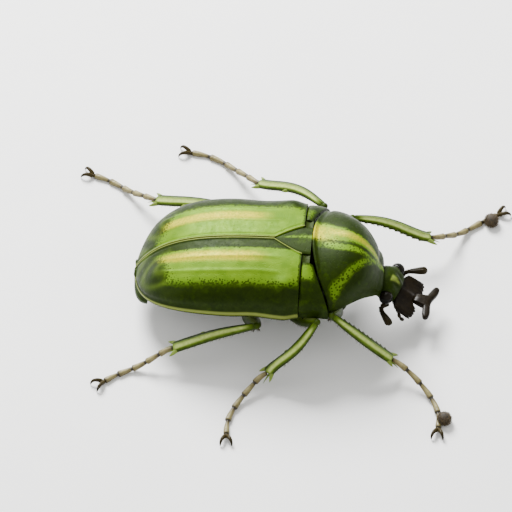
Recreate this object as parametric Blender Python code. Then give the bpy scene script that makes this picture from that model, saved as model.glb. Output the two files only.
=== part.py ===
"""A life-size model of a male T-horned flower beetle, standing on its six feet.

Each plate of the shell is its own closed solid, parted from its neighbours by a thin seam.
Lengths are in millimetres and angles in degrees until skin() turns them into metres.
The insect faces +X, its left side is +Y, and the floor it stands on is z = 0.
"""

import math

import bmesh
import bpy
import numpy as np
from mathutils import Matrix, Vector

MM = 0.001
SEAM = 0.06  # half of the joint line between two plates lies on each side of it

# Trunk: the hind body under the two wing covers, from their base back to their tips.
ELYTRA_LENGTH = 26.4
HALF_WIDTH = 11.3
RIM_HEIGHT = 9.2  # the side edge of the wing covers, above the floor
RIM_DROOP = 3.4  # how much lower that edge is at the tips
DOME = 6.6  # the seam of the wing covers, above that edge
BELLY = 5.2  # the underside, below that edge
BODY_ROUNDNESS = 2.6  # exponent of the superellipse across the back; 2 is an ellipse
BELLY_ROUNDNESS = 1.42
THORAX_END = 10.9  # where the hind chest meets the abdomen, behind the base
ABDOMEN_END = 24.1
SCUTELLUM_LENGTH = 4.6
SCUTELLUM_HALF_WIDTH = 2.7
COLLAR = 1.25  # the chest's own collar, from the wing covers' base forward to the neck shield
COLLAR_HALF_WIDTH = 4.3
PYGIDIUM_TIP = (-26.6, 3.7)  # along X, and above the floor

# Neck shield (pronotum) and the underside below it, in a frame at its own hind edge.
PRONOTUM_LENGTH = 10.9
PRONOTUM_HALF_WIDTH = 9.75
PRONOTUM_DOME = 6.7
PRONOTUM_ARCH = 2.0  # how far its side edges curve up between their ends
PRONOTUM_YAW = 3.5
PRONOTUM_PITCH = 12.0  # nose down
PRONOTUM_LOBE = 2.6  # how far its hind corners stand ahead of the middle of its hind edge

# Head, in a frame near the middle of the neck shield's front edge.
HEAD_PLACE = (11.1, -0.14, 0.0)
HEAD_YAW = -17.3
HEAD_PITCH = 18.0
CAPSULE_LENGTH = 3.3
CAPSULE_HALF_WIDTH = 3.05
EYE_RADIUS = 1.1
EYE_PLACE = (1.9, 3.15, 0.3)
CLYPEUS_LENGTH = 3.65
CLYPEUS_THICKNESS = 1.3
HORN_PITCH = -24.0  # rises from the head's own plane
HORN_STALK = 1.1
HORN_SPAN = 7.0
HORN_THICKNESS = 1.0
CLUB_LENGTH = 2.9
CLUB_RADIUS = 0.55

# Feelers: the bearings of stalk, bead string and club, as steps along X, Y and Z.
ANTENNAE = {
    "left": {"scape": (0.8, 0.85, 0.85), "reach": 1.3, "funicle": (0.9, 0.3, 0.2),
             "club": (1.0, 0.08, 0.1), "up": (0.1, 0.2, 1)},
    "right": {"scape": (-0.75, -0.6, 0.25), "reach": 1.5, "funicle": (0.2, -0.8, -0.4),
              "club": (0.5, -0.84, 0.0), "up": (0.3, 0.1, 1)},
}

# Legs. A hip is given for the left side. A bow is how far a shin curves outwards.
HIPS = {"fore": (5.9, 2.6, 4.2), "mid": (-3.2, 3.6, 3.6), "hind": (-9.2, 3.8, 3.5)}
BOWS = {"fore": 0.48, "mid": 1.15, "hind": 0.0}
# Lengths of thigh, shin and foot, compass bearings from straight ahead with left positive, and the
# heights of knee and ankle above the floor. A foot swings through three bearings.
LEGS = {
    ("fore", "left"): {"lengths": (9.8, 12.9, 15.0), "femur": 84, "knee": 8.5, "tibia": -1,
                       "ankle": 4.6, "tarsus": (39, 51, 32)},
    ("fore", "right"): {"lengths": (9.6, 11.9, 14.8), "femur": -94.5, "knee": 10.0, "tibia": -15.2,
                        "ankle": 3.4, "tarsus": (-22, -47, -95)},
    ("mid", "left"): {"lengths": (12.4, 13.6, 15.3), "femur": 63, "knee": 7.6, "tibia": 147,
                      "ankle": 3.5, "tarsus": (131, 133, 178)},
    ("mid", "right"): {"lengths": (11.9, 10.9, 13.5), "femur": -53, "knee": 9.8, "tibia": -148,
                       "ankle": 2.7, "tarsus": (-135, -123, -82)},
    ("hind", "left"): {"lengths": (9.8, 14.4, 13.4), "femur": 106, "knee": 7.6, "tibia": 163,
                       "ankle": 3.5, "tarsus": (146, 137, 166)},
    ("hind", "right"): {"lengths": (9.9, 13.9, 12.2), "femur": -70, "knee": 8.3, "tibia": -172,
                        "ankle": 3.7, "tarsus": (-159, -161, -138)},
}
SHIN_ARCH = 0.55
THIGH_SAG = 0.95
FOOT_RADIUS = 0.46
CLAW_LENGTH = 1.8
PAD_RADIUS = 1.05

SIDES = (("left", 1), ("right", -1))

COLOURS = {
    "shell": ((0.13, 0.27, 0.05), 0.28, 0.55),
    "shell_dark": ((0.035, 0.07, 0.015), 0.3, 0.5),
    "leg_shell": ((0.16, 0.30, 0.08), 0.32, 0.4),
    "horn_brown": ((0.10, 0.075, 0.035), 0.4, 0.1),
    "tarsus_brown": ((0.30, 0.24, 0.14), 0.45, 0.05),
    "eye": ((0.02, 0.018, 0.012), 0.12, 0.0),
    "pad": ((0.17, 0.13, 0.06), 0.8, 0.0),
}


def material(name):
    """The named finish, made the first time it is asked for."""
    found = bpy.data.materials.get(name)
    if found:
        return found
    colour, roughness, metallic = COLOURS[name]
    made = bpy.data.materials.new(name)
    made.use_nodes = True
    shader = made.node_tree.nodes["Principled BSDF"]
    shader.inputs["Base Color"].default_value = (*colour, 1.0)
    shader.inputs["Roughness"].default_value = roughness
    shader.inputs["Metallic"].default_value = metallic
    return made


def place(bm, name, finish, frame=None):
    """Turns a closed bmesh in millimetres into a named object in metres."""
    bmesh.ops.remove_doubles(bm, verts=bm.verts, dist=0.004)
    bmesh.ops.recalc_face_normals(bm, faces=bm.faces)
    bm.transform(Matrix.Scale(MM, 4) @ (frame or Matrix.Identity(4)))
    mesh = bpy.data.meshes.new(name)
    bm.to_mesh(mesh)
    bm.free()
    mesh.materials.append(material(finish))
    mesh.shade_smooth()
    mesh.set_sharp_from_angle(angle=math.radians(38))
    piece = bpy.data.objects.new(name, mesh)
    bpy.context.scene.collection.objects.link(piece)
    return piece


def skin(name, rings, finish, frame=None):
    """A closed solid over rings of points, each ring joined to the next and both ends capped."""
    bm = bmesh.new()
    loops = [[bm.verts.new(p) for p in ring] for ring in rings]
    count = len(loops[0])
    for near, far in zip(loops, loops[1:]):
        for i in range(count):
            j = (i + 1) % count
            bm.faces.new((near[i], near[j], far[j], far[i]))
    bm.faces.new(loops[0][::-1])
    bm.faces.new(loops[-1])
    return place(bm, name, finish, frame)


def cut(piece, cutter):
    """Takes the cutter's shape out of the piece, and leaves the cutter as a hidden guide."""
    cutter.hide_render = True
    cutter.display_type = "WIRE"
    step = piece.modifiers.new("cut_" + cutter.name, "BOOLEAN")
    step.operation = "DIFFERENCE"
    step.solver = "EXACT"
    step.object = cutter


def smooth_step(t):
    t = np.clip(t, 0.0, 1.0)
    return t * t * (3 - 2 * t)


def frame_at(point, yaw=0.0, pitch=0.0, roll=0.0):
    """A frame at a point, turned left by yaw and nose down by pitch."""
    turn = Matrix.Rotation(math.radians(yaw), 4, "Z") @ Matrix.Rotation(math.radians(pitch), 4, "Y")
    return Matrix.Translation(point) @ turn @ Matrix.Rotation(math.radians(roll), 4, "X")


# ---------------------------------------------------------------- trunk

def back_along(x):
    """0 at the base of the wing covers, 1 at their tips."""
    return np.clip(-x / ELYTRA_LENGTH, 0.0, 1.0)


def half_width(x):
    """Blunt behind, a little drawn in behind the shoulders, narrower at the very base."""
    s = back_along(x)
    shoulder = 0.95 + 0.05 * smooth_step(s / 0.09)
    waist = 1 - 0.03 * math.exp(-(((s - 0.27) / 0.11) ** 2))
    return HALF_WIDTH * shoulder * waist * (1 - 0.975 * s**5.6) ** 0.5


def dome_height(x):
    """Highest near the base, and falling away faster and faster to the tips."""
    s = back_along(x)
    return DOME * (1 - 0.6 * s**2.6) * (1 - 0.9 * s**11) ** 0.5


def rim(x):
    """The side edge runs level, then turns down to the tips."""
    return RIM_HEIGHT - RIM_DROOP * back_along(x) ** 6


def belly_depth(x):
    """The belly hangs less and less far below the side edge towards the tail."""
    return BELLY * (1 - 0.42 * back_along(x) ** 6)


def on_back(x, y):
    """Height of the back over the rim at a distance y from the middle."""
    share = min(1.0, abs(y) / half_width(x))
    return dome_height(x) * (1 - share**BODY_ROUNDNESS) ** (1 / BODY_ROUNDNESS)


def scutellum_edge(x):
    """Half the width of the little triangle between the wing covers."""
    return SCUTELLUM_HALF_WIDTH * max(0.0, 1 - (max(0.0, -x) / SCUTELLUM_LENGTH) ** 1.25)


def stations(start, stop, count, crowd=1.0):
    """Places along X, closer together towards stop where crowd is above 1."""
    return [start + (stop - start) * (1 - (1 - i / (count - 1)) ** crowd) for i in range(count)]


def elytron(side, sign):
    """One wing cover: from the seam over the back to the side edge, flat underneath."""
    rings = []
    for x in stations(-SEAM, -ELYTRA_LENGTH, 22, 1.35):
        inner = scutellum_edge(x) + SEAM
        width = half_width(x)
        last = math.acos(min(1.0, (inner / width)) ** (BODY_ROUNDNESS / 2))
        ring = []
        for t in np.linspace(0, 1, 14):
            angle = last * t
            across = width * math.cos(angle) ** (2 / BODY_ROUNDNESS)
            up = dome_height(x) * math.sin(angle) ** (2 / BODY_ROUNDNESS)
            ring.append((x, sign * across, rim(x) + SEAM + up))
        ring.append((x, sign * inner, rim(x) + SEAM))
        rings.append(ring)
    return skin(f"elytron_{side}", rings, "shell")


def scutellum():
    """The triangle between the wing covers, following the curve of the back."""
    rings = []
    for x in [COLLAR, *stations(SEAM, -SCUTELLUM_LENGTH + 0.3, 9)]:
        edge = scutellum_edge(x)
        top = [(x, y, RIM_HEIGHT + on_back(x, y) - 0.12) for y in np.linspace(-edge, edge, 7)]
        rings.append([(x, -edge, RIM_HEIGHT + SEAM), *top, (x, edge, RIM_HEIGHT + SEAM)])
    return skin("scutellum", rings, "shell")


def collar(side, sign):
    """The sunken strip beside the scutellum, between a wing cover and the neck shield."""
    rings = []
    for x in (SEAM, COLLAR):
        low, high = SCUTELLUM_HALF_WIDTH + 2 * SEAM, COLLAR_HALF_WIDTH
        top = [(x, sign * y, RIM_HEIGHT + on_back(0, y) - 0.7) for y in np.linspace(low, high, 4)]
        rings.append([(x, sign * low, RIM_HEIGHT + SEAM), *top, (x, sign * high, RIM_HEIGHT + SEAM)])
    return skin(f"collar_{side}", rings, "shell_dark")


def belly_ring(x, width, depth, roundness, top):
    """Half an oval hanging under a flat top."""
    ring = []
    for angle in np.linspace(0, math.pi, 19):
        c, s = math.cos(angle), math.sin(angle)
        across = width * math.copysign(abs(c) ** (2 / roundness), c)
        ring.append((x, across, top - depth * s ** (2 / roundness)))
    return ring


def thorax():
    """The hind chest, which carries the middle and hind legs."""
    rings = []
    for x in stations(1.9, -THORAX_END + SEAM, 9):
        neck = 0.66 + 0.34 * smooth_step((1.9 - x) / 2.6)
        depth = belly_depth(x) * (0.72 + 0.28 * smooth_step((1.9 - x) / 4.5))
        rings.append(belly_ring(x, (half_width(x) - 0.35) * neck, depth, BELLY_ROUNDNESS, rim(x) - SEAM))
    return skin("thorax", rings, "shell_dark")


def abdomen():
    """The belly's overlapping rings: each swells a little before the next begins."""
    first, last, plates = -THORAX_END - SEAM, -ABDOMEN_END, 5
    rings = []
    for i in range(plates):
        for share in (0.02, 0.5, 0.94):
            x = first + (last - first) * (i + share) / plates
            lift = 0.93 + 0.07 * math.sin(math.pi * share)
            rings.append(
                belly_ring(x, (half_width(x) - 0.45) * (0.985 + 0.015 * lift), belly_depth(x) * lift,
                           BELLY_ROUNDNESS, rim(x) - SEAM)
            )
    return skin("abdomen", rings, "shell_dark")


def pygidium():
    """The blunt last plate, which turns down behind the belly under the wing covers' tips."""
    start = -ABDOMEN_END - 2 * SEAM
    reach, tip_height = PYGIDIUM_TIP
    low_start = rim(start) - belly_depth(start) * 0.94
    rings = []
    for t in np.linspace(0, 1, 8):
        bend = math.sin(t * math.pi / 2)
        size = max(0.15, math.cos(t * math.pi / 2) ** 0.7)
        x = start + (reach - start) * bend
        high = min(tip_height + 0.6 + (rim(start) - SEAM - tip_height - 0.6) * size, rim(x) - SEAM)
        low = tip_height + (low_start - tip_height) * size
        width = (half_width(start) - 0.9) * size
        ring = []
        for angle in np.linspace(0, 2 * math.pi, 20, endpoint=False):
            c, s = math.cos(angle), math.sin(angle)
            z = (high + low) / 2 - (high - low) / 2 * math.copysign(abs(s) ** 0.8, s)
            ring.append((x, width * math.copysign(abs(c) ** 0.8, c), z))
        rings.append(ring)
    return skin("pygidium", rings, "shell")


def epimeron(side, sign):
    """The plate that shows between the neck shield's hind corner and the wing cover's shoulder."""
    rings = []
    for y in np.linspace(COLLAR_HALF_WIDTH + SEAM, half_width(0) - 0.25, 8):
        turned = sign * y * math.tan(math.radians(PRONOTUM_YAW))
        front = COLLAR + pronotum_hind_edge(y) - turned - 0.25
        top = RIM_HEIGHT + on_back(0, y) - 0.25
        low = RIM_HEIGHT + SEAM
        span = [(SEAM, top), (front * 0.55, top - 0.03), (front, top - 0.4), (front, low), (SEAM, low)]
        rings.append([(x, sign * y, max(z, low + 0.02 * k)) for k, (x, z) in zip((3, 2, 1, 0, 0), span)])
    return skin(f"epimeron_{side}", rings, "shell")


# ---------------------------------------------------------------- neck shield

PRONOTUM_FRAME = frame_at((COLLAR + 0.15, 0.0, RIM_HEIGHT + 0.1), PRONOTUM_YAW, PRONOTUM_PITCH)


def pronotum_hind_edge(y):
    """The middle of the hind edge is drawn back in a lobe."""
    return PRONOTUM_LOBE * (abs(y) / PRONOTUM_HALF_WIDTH) ** 2


def pronotum_width(u):
    return PRONOTUM_HALF_WIDTH * (0.975 + 0.025 * smooth_step(u / 0.12)) * (1 - 0.62 * u**1.5)


def pronotum_dome(u):
    return PRONOTUM_DOME * (0.965 + 0.035 * smooth_step(u / 0.2)) * (1 - 0.64 * u**3.3)


def pronotum_arch(x):
    """How much higher the shield's side edge is than a straight line between its ends."""
    return PRONOTUM_ARCH * math.sin(math.pi * min(1.0, x / PRONOTUM_LENGTH) ** 1.25)


def pronotum():
    """A shield drawn in towards the head, with its hind edge lobed over the scutellum."""
    rings = []
    for u in np.linspace(0, 1, 15):
        width, dome = pronotum_width(u), pronotum_dome(u)
        ring = []
        for angle in np.linspace(0, math.pi, 25):
            c, s = math.cos(angle), math.sin(angle)
            y = width * math.copysign(abs(c) ** (2 / 2.25), c)
            z = dome * s ** (2 / 2.25)
            hind = pronotum_hind_edge(y) - z * math.tan(math.radians(PRONOTUM_PITCH))
            x = hind + (PRONOTUM_LENGTH - hind) * u
            ring.append((x, y, z + pronotum_arch(max(0.0, x))))
        rings.append(ring)
    piece = skin("pronotum", rings, "shell", PRONOTUM_FRAME)
    cut(piece, neck_socket("pronotum"))
    return piece


def prosternum():
    """The underside below the neck shield, which carries the forelegs."""
    rings = []
    for u in np.linspace(0.13, 0.98, 10):
        width = pronotum_width(u) - 0.4
        depth = 4.2 - 2.0 * smooth_step((u - 0.45) / 0.55) - 0.5 * smooth_step((0.40 - u) / 0.2)
        x = PRONOTUM_LENGTH * u
        shift = pronotum_hind_edge(width) * (1 - u)
        ring = []
        for _, y, z in belly_ring(x, width, depth, 1.1, 0.0):
            along_x = x + shift * (y / width) ** 2
            arch = pronotum_arch(along_x)
            ring.append((along_x, y, arch - SEAM + z * (depth + arch) / depth))
        rings.append(ring)
    piece = skin("prosternum", rings, "shell_dark", PRONOTUM_FRAME)
    cut(piece, neck_socket("prosternum"))
    return piece


# ---------------------------------------------------------------- head

HEAD_FRAME = PRONOTUM_FRAME @ frame_at(HEAD_PLACE, HEAD_YAW, HEAD_PITCH)
CLYPEUS_START = CAPSULE_LENGTH + SEAM * 2


def oval_ring(x, width, up, down, roundness=2.3, count=20, lift=0.0):
    ring = []
    for angle in np.linspace(0, 2 * math.pi, count, endpoint=False):
        c, s = math.cos(angle), math.sin(angle)
        y = width * math.copysign(abs(c) ** (2 / roundness), c)
        z = (up if s > 0 else down) * math.copysign(abs(s) ** (2 / roundness), s)
        ring.append((x, y, z + lift))
    return ring


# The back of the skull, which turns in the neck shield: along X, half width, up, down.
OCCIPUT = [(-0.9, 1.5, 0.9, 1.0), (-0.5, 2.15, 1.45, 1.6), (0.0, 2.5, 1.75, 1.9), (0.6, 2.8, 1.95, 2.1)]


def neck_socket(name):
    """The hollow that the back of the skull sits in."""
    gap = 2 * SEAM
    rings = [oval_ring(x - gap, *(size + gap for size in sizes)) for x, *sizes in OCCIPUT]
    rings.append(oval_ring(2.5, *(size + gap for size in OCCIPUT[-1][1:])))
    return skin(f"neck_socket_{name}", rings, "shell_dark", HEAD_FRAME)


def head():
    """The skull, widest at the eyes, with a socket for each."""
    rings = [oval_ring(*sizes) for sizes in OCCIPUT]
    rings += [oval_ring(1.5, CAPSULE_HALF_WIDTH, 2.05, 2.1), oval_ring(2.5, 2.8, 1.75, 1.8)]
    rings.append(oval_ring(CAPSULE_LENGTH, 2.5, 1.25, 1.45))
    piece = skin("head", rings, "shell_dark", HEAD_FRAME)
    for side, sign in SIDES:
        cut(piece, eye_ball(f"socket_{side}", sign, SEAM))


def eye_ball(name, sign, clearance=0.0, detail=2):
    """An eye, or the socket that it sits in."""
    centre = tuple(np.array(EYE_PLACE) * (1, sign, 1))
    return ball(name, centre, EYE_RADIUS + clearance, "eye", HEAD_FRAME, detail=detail)


def ball(name, centre, radius, finish, frame=None, squash=(1, 1, 1), detail=2):
    bm = bmesh.new()
    bmesh.ops.create_icosphere(bm, subdivisions=detail, radius=radius)
    bmesh.ops.scale(bm, vec=squash, verts=bm.verts)
    bmesh.ops.translate(bm, vec=centre, verts=bm.verts)
    return place(bm, name, finish, frame)


def plate(name, outline, thickness, finish, frame, rounding):
    """A flat outline, mirrored about its own middle, given a thickness and rounded edges."""
    bm = bmesh.new()
    whole = outline + [(x, -y) for x, y in reversed(outline) if abs(y) > 1e-6]
    base = bm.faces.new([bm.verts.new((x, y, -thickness / 2)) for x, y in whole])
    raised = bmesh.ops.extrude_face_region(bm, geom=[base])
    bmesh.ops.translate(
        bm, vec=(0, 0, thickness), verts=[v for v in raised["geom"] if isinstance(v, bmesh.types.BMVert)]
    )
    bmesh.ops.bevel(
        bm, geom=[e for e in bm.edges if abs(e.verts[0].co.z - e.verts[1].co.z) < 1e-6],
        offset=rounding, segments=2, profile=0.6, affect="EDGES",
    )
    bmesh.ops.triangulate(bm, faces=[f for f in bm.faces if len(f.verts) > 4])
    return place(bm, name, finish, frame)


def clypeus():
    """The face plate: narrow behind, and drawn out at each side into a forward tooth."""
    reach = CLYPEUS_LENGTH
    outline = [
        (0.0, 2.6), (0.3, 3.25), (0.85, 3.65), (1.9, 3.48), (2.6, 3.58), (reach - 0.2, 3.88),
        (reach - 0.1, 3.2), (reach, 2.4), (reach, 1.6), (reach - 0.35, 1.15), (reach - 0.7, 0.85),
    ]
    frame = HEAD_FRAME @ Matrix.Translation((CLYPEUS_START, 0, 0.0))
    return plate("clypeus", outline, CLYPEUS_THICKNESS, "horn_brown", frame, 0.3)


def horn():
    """A stalk that spreads into two forward-curving arms, like a T."""
    half, root = HORN_SPAN / 2, 0.66
    outline = [
        (0.0, root), (HORN_STALK * 0.6, root - 0.04), (HORN_STALK, root + 0.12),
        (HORN_STALK + 0.27, root + 0.5), (HORN_STALK + 0.65, half * 0.62), (HORN_STALK + 1.0, half * 0.88),
        (HORN_STALK + 1.35, half), (HORN_STALK + 1.65, half * 0.97), (HORN_STALK + 1.83, half * 0.8),
        (HORN_STALK + 1.75, half * 0.45), (HORN_STALK + 1.5, half * 0.15), (HORN_STALK + 1.45, 0.0),
    ]
    start = Matrix.Translation((CLYPEUS_START + CLYPEUS_LENGTH - 0.6, 0, 0.52))
    frame = HEAD_FRAME @ start @ Matrix.Rotation(math.radians(HORN_PITCH), 4, "Y")
    return plate("horn", outline, HORN_THICKNESS, "horn_brown", frame, 0.28)


# ---------------------------------------------------------------- limbs

def along(path):
    """Distance run along a path, from 0 to 1."""
    steps = np.linalg.norm(np.diff(path, axis=0), axis=1)
    run = np.concatenate([[0], np.cumsum(steps)])
    return run / run[-1]


def limb(name, path, widths, depths, finish, up=(0, 0, 1), sides=10, start_cut=None, end_cut=None,
         frame=None, floor=None):
    """A tube of changing oval section along a path. A cut is a plane that an end is mitred to."""
    path = np.asarray(path, float)
    tangents = np.gradient(path, axis=0)
    tangents /= np.linalg.norm(tangents, axis=1)[:, None]
    rings = []
    for i, (centre, ahead) in enumerate(zip(path, tangents)):
        across = np.cross(up, ahead)
        across /= np.linalg.norm(across)
        normal = np.cross(ahead, across)
        angles = np.linspace(0, 2 * math.pi, sides, endpoint=False)
        ring = centre + np.outer(widths[i] * np.cos(angles), across)
        ring += np.outer(depths[i] * np.sin(angles), normal)
        plane = start_cut if i == 0 else end_cut if i == len(path) - 1 else None
        if plane is not None:
            point, facing = plane
            shift = ((np.asarray(point) - ring) @ facing) / (ahead @ facing)
            ring = ring + np.outer(shift, ahead)
        if floor is not None:
            ring[:, 2] = np.maximum(ring[:, 2], floor)
        rings.append([tuple(p) for p in ring])
    return skin(name, rings, finish, frame)


def heading(azimuth, run, rise):
    a = math.radians(azimuth)
    return np.array([run * math.cos(a), run * math.sin(a), rise])


def step_to(start, length, azimuth, height):
    """The far end of a straight segment of that length, at that compass angle and height."""
    rise = height - start[2]
    return start + heading(azimuth, math.sqrt(length**2 - rise**2), rise)


def tarsus_path(ankle, length, azimuths, count):
    """A foot that comes down from the ankle, lies along the floor and swings through three bearings."""
    points = [np.array(ankle, float)]
    rest = FOOT_RADIUS * 0.86
    for i in range(1, count):
        u, mid = i / (count - 1), (i - 0.5) / (count - 1)
        turn = azimuths[0] + (azimuths[1] - azimuths[0]) * min(1, mid / 0.5)
        turn += (azimuths[2] - azimuths[1]) * max(0, (mid - 0.5) / 0.5)
        height = rest + (ankle[2] - rest) * (1 - smooth_step(u / 0.72) ** 0.8)
        step = length / (count - 1)
        rise = height - points[-1][2]
        points.append(points[-1] + heading(turn, math.sqrt(max(step**2 - rise**2, 0.01)), rise))
    return np.array(points)


def unit(v):
    return np.asarray(v, float) / np.linalg.norm(v)


def hip_ball(name, pair, sign, clearance=0.0):
    """The rolling hip joint, or the hollow in the chest that it turns in."""
    centre = tuple(np.array(HIPS[pair]) * (1, sign, 1))
    half_axes = tuple(size + clearance for size in (1.35, 1.75, 1.1))
    return ball(name, centre, 1.0, "shell_dark", squash=half_axes)


def leg(pair, side, sign):
    """One leg from hip to claws, each segment its own solid."""
    stance = LEGS[(pair, side)]
    thigh, shin, foot_length = stance["lengths"]
    hip = np.array(HIPS[pair]) * (1, sign, 1)
    name = f"{pair}_{side}"
    hip_ball(f"coxa_{name}", pair, sign)
    knee = step_to(hip, thigh, stance["femur"], stance["knee"])
    ankle = step_to(knee, shin, stance["tibia"], stance["ankle"])
    thigh_start = hip + unit(knee - hip) * 1.95
    femur(name, thigh_start, knee, ankle)
    tibia(name, pair, sign, thigh_start, knee, ankle)
    foot(name, pair, sign, knee, ankle, foot_length, stance["tarsus"])


def mitre(knee, before, after, offset):
    """The plane that halves the angle of a joint, moved along the limb by offset."""
    facing = unit(unit(after - knee) + unit(knee - before))
    return knee + facing * offset, facing


def femur(name, start, knee, ankle):
    path = np.linspace(start, knee, 9)
    u = along(path)
    path[:, 2] -= THIGH_SAG * np.sin(np.pi * u)
    width = 0.62 + 0.62 * np.sin(np.pi * u**0.8) ** 0.8
    width[-1] = 0.62
    plane = mitre(knee, start, ankle, -SEAM)
    limb(f"femur_{name}", path, width, width * 0.72, "leg_shell", end_cut=plane)


def shin_path(knee, ankle, bow, sign, u):
    """Points along a shin that arches upwards and bows away from the body."""
    run = unit((ankle - knee) * (1, 1, 0))
    outward = np.cross((0, 0, 1), run)
    outward *= math.copysign(1, outward[1] * sign)
    path = knee + np.outer(u, ankle - knee)
    return path + np.outer(np.sin(np.pi * u), outward * bow + (0, 0, SHIN_ARCH))


# Spines on a shin: how far down it, on which edge (1 is the edge turned up the compass), and size.
SPINES = {
    "fore": [(0.985, -1, 1.5), (0.985, 1, 0.9)],
    "mid": [(0.985, 1, 1.3), (0.985, -1, 1.3), (0.60, 1, 0.7)],
    "hind": [(0.985, 1, 1.3), (0.985, -1, 1.3), (0.62, 1, 0.6)],
}


def tibia(name, pair, sign, before, knee, ankle):
    """Slender at the knee and widening to a toothed end. The foreleg's inner edge is saw-toothed."""
    count = {"fore": 25, "mid": 13, "hind": 13}[pair]
    end = {"fore": 0.95, "mid": 0.95, "hind": 1.05}[pair]
    u = np.linspace(0, 1, count)
    path = shin_path(knee, ankle, BOWS[pair], sign, u)
    width = 0.58 + (end - 0.58) * u**0.8 + 0.14 * np.sin(np.pi * u)
    if pair == "fore":
        width = width + 0.13 * (np.arange(count) % 2) * (u > 0.12) * (u < 0.93)
    depth = 0.5 + 0.18 * np.sin(np.pi * u)
    plane = mitre(knee, before, path[1], SEAM)
    piece = limb(f"tibia_{name}", path, width, depth, "leg_shell", start_cut=plane)
    for i, (share, edge, reach) in enumerate(SPINES[pair]):
        base, ahead = shin_path(knee, ankle, BOWS[pair], sign, np.array([share, share + 0.02]))
        run = unit(ahead - base)
        across = unit(np.cross((0, 0, 1), run)) * edge * sign
        half = np.interp(share, u, width)
        start = base + across * (half - 0.45) - run * 0.35
        tip = base + across * (half + 0.32 * reach) + run * (0.75 * reach)
        path_out = np.linspace(start, tip, 4)
        spine = limb(f"spine{i}_{name}", path_out, (0.42, 0.34, 0.24, 0.1), (0.36, 0.3, 0.22, 0.1),
                     "leg_shell", sides=6)
        join(piece, spine)


def join(piece, other):
    """Makes the other shape one with the piece, and hides it."""
    other.hide_render = True
    other.display_type = "WIRE"
    step = piece.modifiers.new("join_" + other.name, "BOOLEAN")
    step.operation = "UNION"
    step.solver = "EXACT"
    step.object = other


def foot(name, pair, sign, knee, ankle, length, azimuths):
    """Five joints, each widening to its far end, then a pair of hooked claws."""
    start = ankle + unit(ankle - knee) * 0.2
    joints, per_joint = 5, 4
    path = tarsus_path(start, length, azimuths, joints * per_joint + 1)
    u = np.linspace(0, 1, len(path))
    phase = (u * joints) % 1.0
    phase[-1] = 1.0
    radius = 0.33 + 0.17 * np.sin(np.pi * np.clip(phase, 0, 1) ** 1.6)
    radius[u > 0.8] = (0.30 + 0.16 * smooth_step((u - 0.8) / 0.17))[u > 0.8]
    limb(f"tarsus_{name}", path, radius, radius, "tarsus_brown", sides=8, floor=0.0)
    claws(name, path[-1], azimuths[2])
    if pair == "fore":
        pad(name, sign, path)


def claws(name, root, azimuth):
    """Two hooks on one root: a tube from one tip, back through the root, to the other."""
    ahead = heading(azimuth, 1, 0)
    across = np.cross((0, 0, 1), ahead)
    start = root + ahead * 0.34
    half = []
    for t in np.linspace(1, 0, 8):
        out = 0.28 + 0.62 * math.sin(t * math.pi * 0.55)
        rise = 0.55 * math.sin(math.pi * t**0.9) - (root[2] - 0.13) * t**3
        half.append((out, CLAW_LENGTH * math.sin(t * math.pi * 0.45), rise, 0.29 - 0.17 * t**1.2))
    path, radii = [], []
    for turn, run in ((1, half), (-1, half[::-1])):
        for out, reach, rise, radius in run:
            path.append(start + across * turn * out + ahead * reach + (0, 0, rise))
            radii.append(radius)
    limb(f"claws_{name}", path, radii, radii, "horn_brown", sides=6, floor=0.0)


def pad(name, sign, path):
    """The round brush under the last joint of the forefoot, hollowed where the joint lies on it."""
    spot = path[-3]
    ahead = unit(path[-1] - path[-5])
    across = np.cross((0, 0, 1), ahead) * -sign
    centre = spot + across * 0.85 + (0, 0, PAD_RADIUS * 0.98 - spot[2])
    piece = ball(f"pad_{name}", tuple(centre), PAD_RADIUS, "pad", squash=(1, 1, 0.96))
    clear = [r + 2 * SEAM for r in (0.42, 0.5, 0.5, 0.52, 0.52, 0.52)]
    longer = np.vstack([path[-5:], path[-1] + ahead * 0.6])
    cut(piece, limb(f"hollow_{name}", longer, clear, clear, "pad", sides=8))


def antenna(side, sign):
    """The stalk: a club-shaped first joint, then a string of beads. Beyond it is the club."""
    bearings = ANTENNAE[side]
    root = np.array(HEAD_FRAME @ Vector((3.1, sign * 2.8, -1.0)))
    scape, funicle, club = (unit(bearings[key]) for key in ("scape", "funicle", "club"))
    elbow = root + scape * bearings["reach"]
    end = elbow + funicle * 0.9
    path = np.vstack([np.linspace(root, elbow, 5), np.linspace(elbow, end, 5)[1:]])
    radius = np.array([0.27, 0.3, 0.36, 0.38, 0.3, 0.26, 0.31, 0.26, 0.3])
    limb(f"antenna_{side}", path, radius, radius, "horn_brown", sides=7, up=bearings["up"])
    t = np.linspace(0, 1, 8)
    club_path = end + np.outer(0.12 + t * CLUB_LENGTH, club)
    thick = CLUB_RADIUS * (0.55 + 0.45 * np.sin(np.pi * np.clip(t * 0.8 + 0.12, 0, 1)))
    thick[-1] *= 0.55
    limb(f"antenna_club_{side}", club_path, thick, thick * 0.85, "horn_brown", sides=9, up=bearings["up"])


def mouthparts():
    """The block of chin and jaws under the face plate."""
    rings = []
    for t, width in zip(np.linspace(0, 1, 5), (1.6, 2.1, 2.2, 1.9, 1.2)):
        x = CAPSULE_LENGTH + 0.15 + t * 2.5
        rings.append(oval_ring(x, width, 0.45, 0.75, lift=-1.25 - 0.1 * t, count=14))
    return skin("mouthparts", rings, "horn_brown", HEAD_FRAME)


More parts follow.
